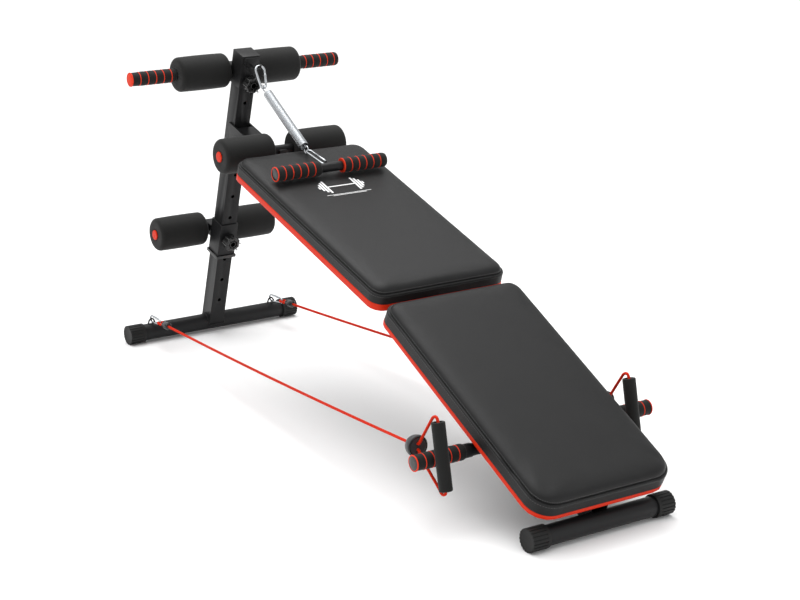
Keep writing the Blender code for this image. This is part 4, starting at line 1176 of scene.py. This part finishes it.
# ---------------------------------------------------------------- rope stoppers
# Each rope ends in a moulded stopper: a smooth grey dome towards the rope, and a black
# dished face that the handle's strand comes out of.
STOPPER_R = 0.0222
STOPPER_DISH = 0.0040
STOPPER_SIDES = 40
grey_shell = Finish("grey_plastic", (0.035, 0.036, 0.038), Specular_IOR_Level=0.5)
grey_flow = grey_shell.noise(60, 2)
grey_shell.tint(grey_flow, (0.030, 0.031, 0.033), (0.045, 0.046, 0.049))
grey_shell.feed("Roughness", grey_flow * 0.1 + 0.28)
for side, (stopper, pull) in ropes.items():
    body = "rope_handle_" + side
    node = "rope_stopper_" + side
    bowl = [math.radians(26 + 8 * k) for k in range(9)]
    dome = lathe(STOPPER_SIDES, [(0.0042, 0.0), (0.0068, 0.0006)]
                 + [(STOPPER_R * math.sin(a), STOPPER_DOME * (1 - math.cos(a))) for a in bowl]
                 + [(STOPPER_R - 0.0002, STOPPER_DOME + 0.0030), (STOPPER_R - 0.0008, STOPPER_DOME + 0.0038),
                    (STOPPER_R - 0.0030, STOPPER_DOME + 0.0040)])
    smooth(dome, 50)
    laid_along(dome, stopper - pull * STOPPER_DOME, pull)
    settle(dome, node + "_dome", body, "black_plastic", grey_shell, node)
    face = lathe(STOPPER_SIDES, [(STOPPER_R - 0.0022, 0.0030), (STOPPER_R - 0.0016, 0.0052),
                                 (STOPPER_R - 0.0024, 0.0060), (STOPPER_R - 0.0044, 0.0058),
                                 (STOPPER_R - 0.0060, 0.0034), (0.0030, 0.0026)])
    smooth(face, 40)
    laid_along(face, stopper - pull * 0.0006, pull)
    settle(face, node + "_face", body, "black_plastic", nylon, node)

# ---------------------------------------------------------------- rope handles
# Plain tubes of black foam with rolled rims.  A strand of the ropes' own cord runs
# through each, and both of its ends are held inside the stopper.
HANDLE = Vector((0.5832, 0.0, 0.1465))
HANDLE_TILT = math.radians(-12.4)
HANDLE_LENGTH = 0.1320
HANDLE_R = 0.0135
HANDLE_ROUND = 0.0022
HANDLE_BORE = 0.0085
STRAND_APART = 0.0070
rise_way = Vector((math.sin(HANDLE_TILT), 0, math.cos(HANDLE_TILT)))
for side, (stopper, pull) in ropes.items():
    body = "rope_handle_" + side
    centre = HANDLE + Vector((0, HANDLE_Y[side], 0))
    half = HANDLE_LENGTH / 2
    shoulder = HANDLE_R - HANDLE_ROUND
    outline = [(HANDLE_BORE, 0.0200), (HANDLE_BORE, 0.0006)]
    outline += arc(shoulder, HANDLE_ROUND, HANDLE_ROUND, -90, 0, 4)
    outline += arc(shoulder, HANDLE_LENGTH - HANDLE_ROUND, HANDLE_ROUND, 0, 90, 4)
    outline += [(HANDLE_BORE + 0.0006, HANDLE_LENGTH), (HANDLE_BORE, HANDLE_LENGTH - 0.0006),
                (HANDLE_BORE - 0.0004, HANDLE_LENGTH - 0.0100),
                (HANDLE_BORE - 0.0004, HANDLE_LENGTH - 0.0300)]
    grip_foam = lathe(48, outline)
    smooth(grip_foam, 50)
    grip_foam.matrix_world = (Matrix.Translation(centre - rise_way * half)
                              @ Matrix.Rotation(HANDLE_TILT, 4, "Y"))
    settle(grip_foam, f"rope_handle_{side}_foam", body, "black_foam", foam, "rope_handle_" + side)

    # the strand: out of the stopper, down through the handle and back
    face_spot = stopper + pull * (5 * GAP - STOPPER_DISH)
    out_end, back_end = face_spot + UP * STRAND_APART, face_spot - UP * STRAND_APART
    top_mouth = centre + rise_way * half
    foot_mouth = centre - rise_way * half
    route = [out_end, out_end + pull * 0.010, out_end + Vector((0.022, 0, 0.019)),
             top_mouth + Vector((-0.022, 0, -0.004)), top_mouth + Vector((-0.015, 0, 0.0045)),
             top_mouth + Vector((-0.006, 0, 0.0075)), top_mouth + Vector((0, 0, 0.0005)),
             top_mouth - rise_way * 0.020, centre, foot_mouth + rise_way * 0.020,
             foot_mouth + Vector((-0.0005, 0, -0.0015)), foot_mouth + Vector((-0.006, 0, -0.0090)),
             foot_mouth + Vector((-0.015, 0, -0.0090)), foot_mouth + Vector((-0.024, 0, -0.001)),
             back_end + Vector((0.022, 0, -0.014)), back_end + pull * 0.010, back_end]
    path = smooth_path(route, 140)
    strand = tube("handle_strand", path, ROPE_R, 14)
    settle(strand, f"handle_strand_{side}_braided", body, "red_cord", braid, "handle_strand_" + side)
    soft_cord(path)
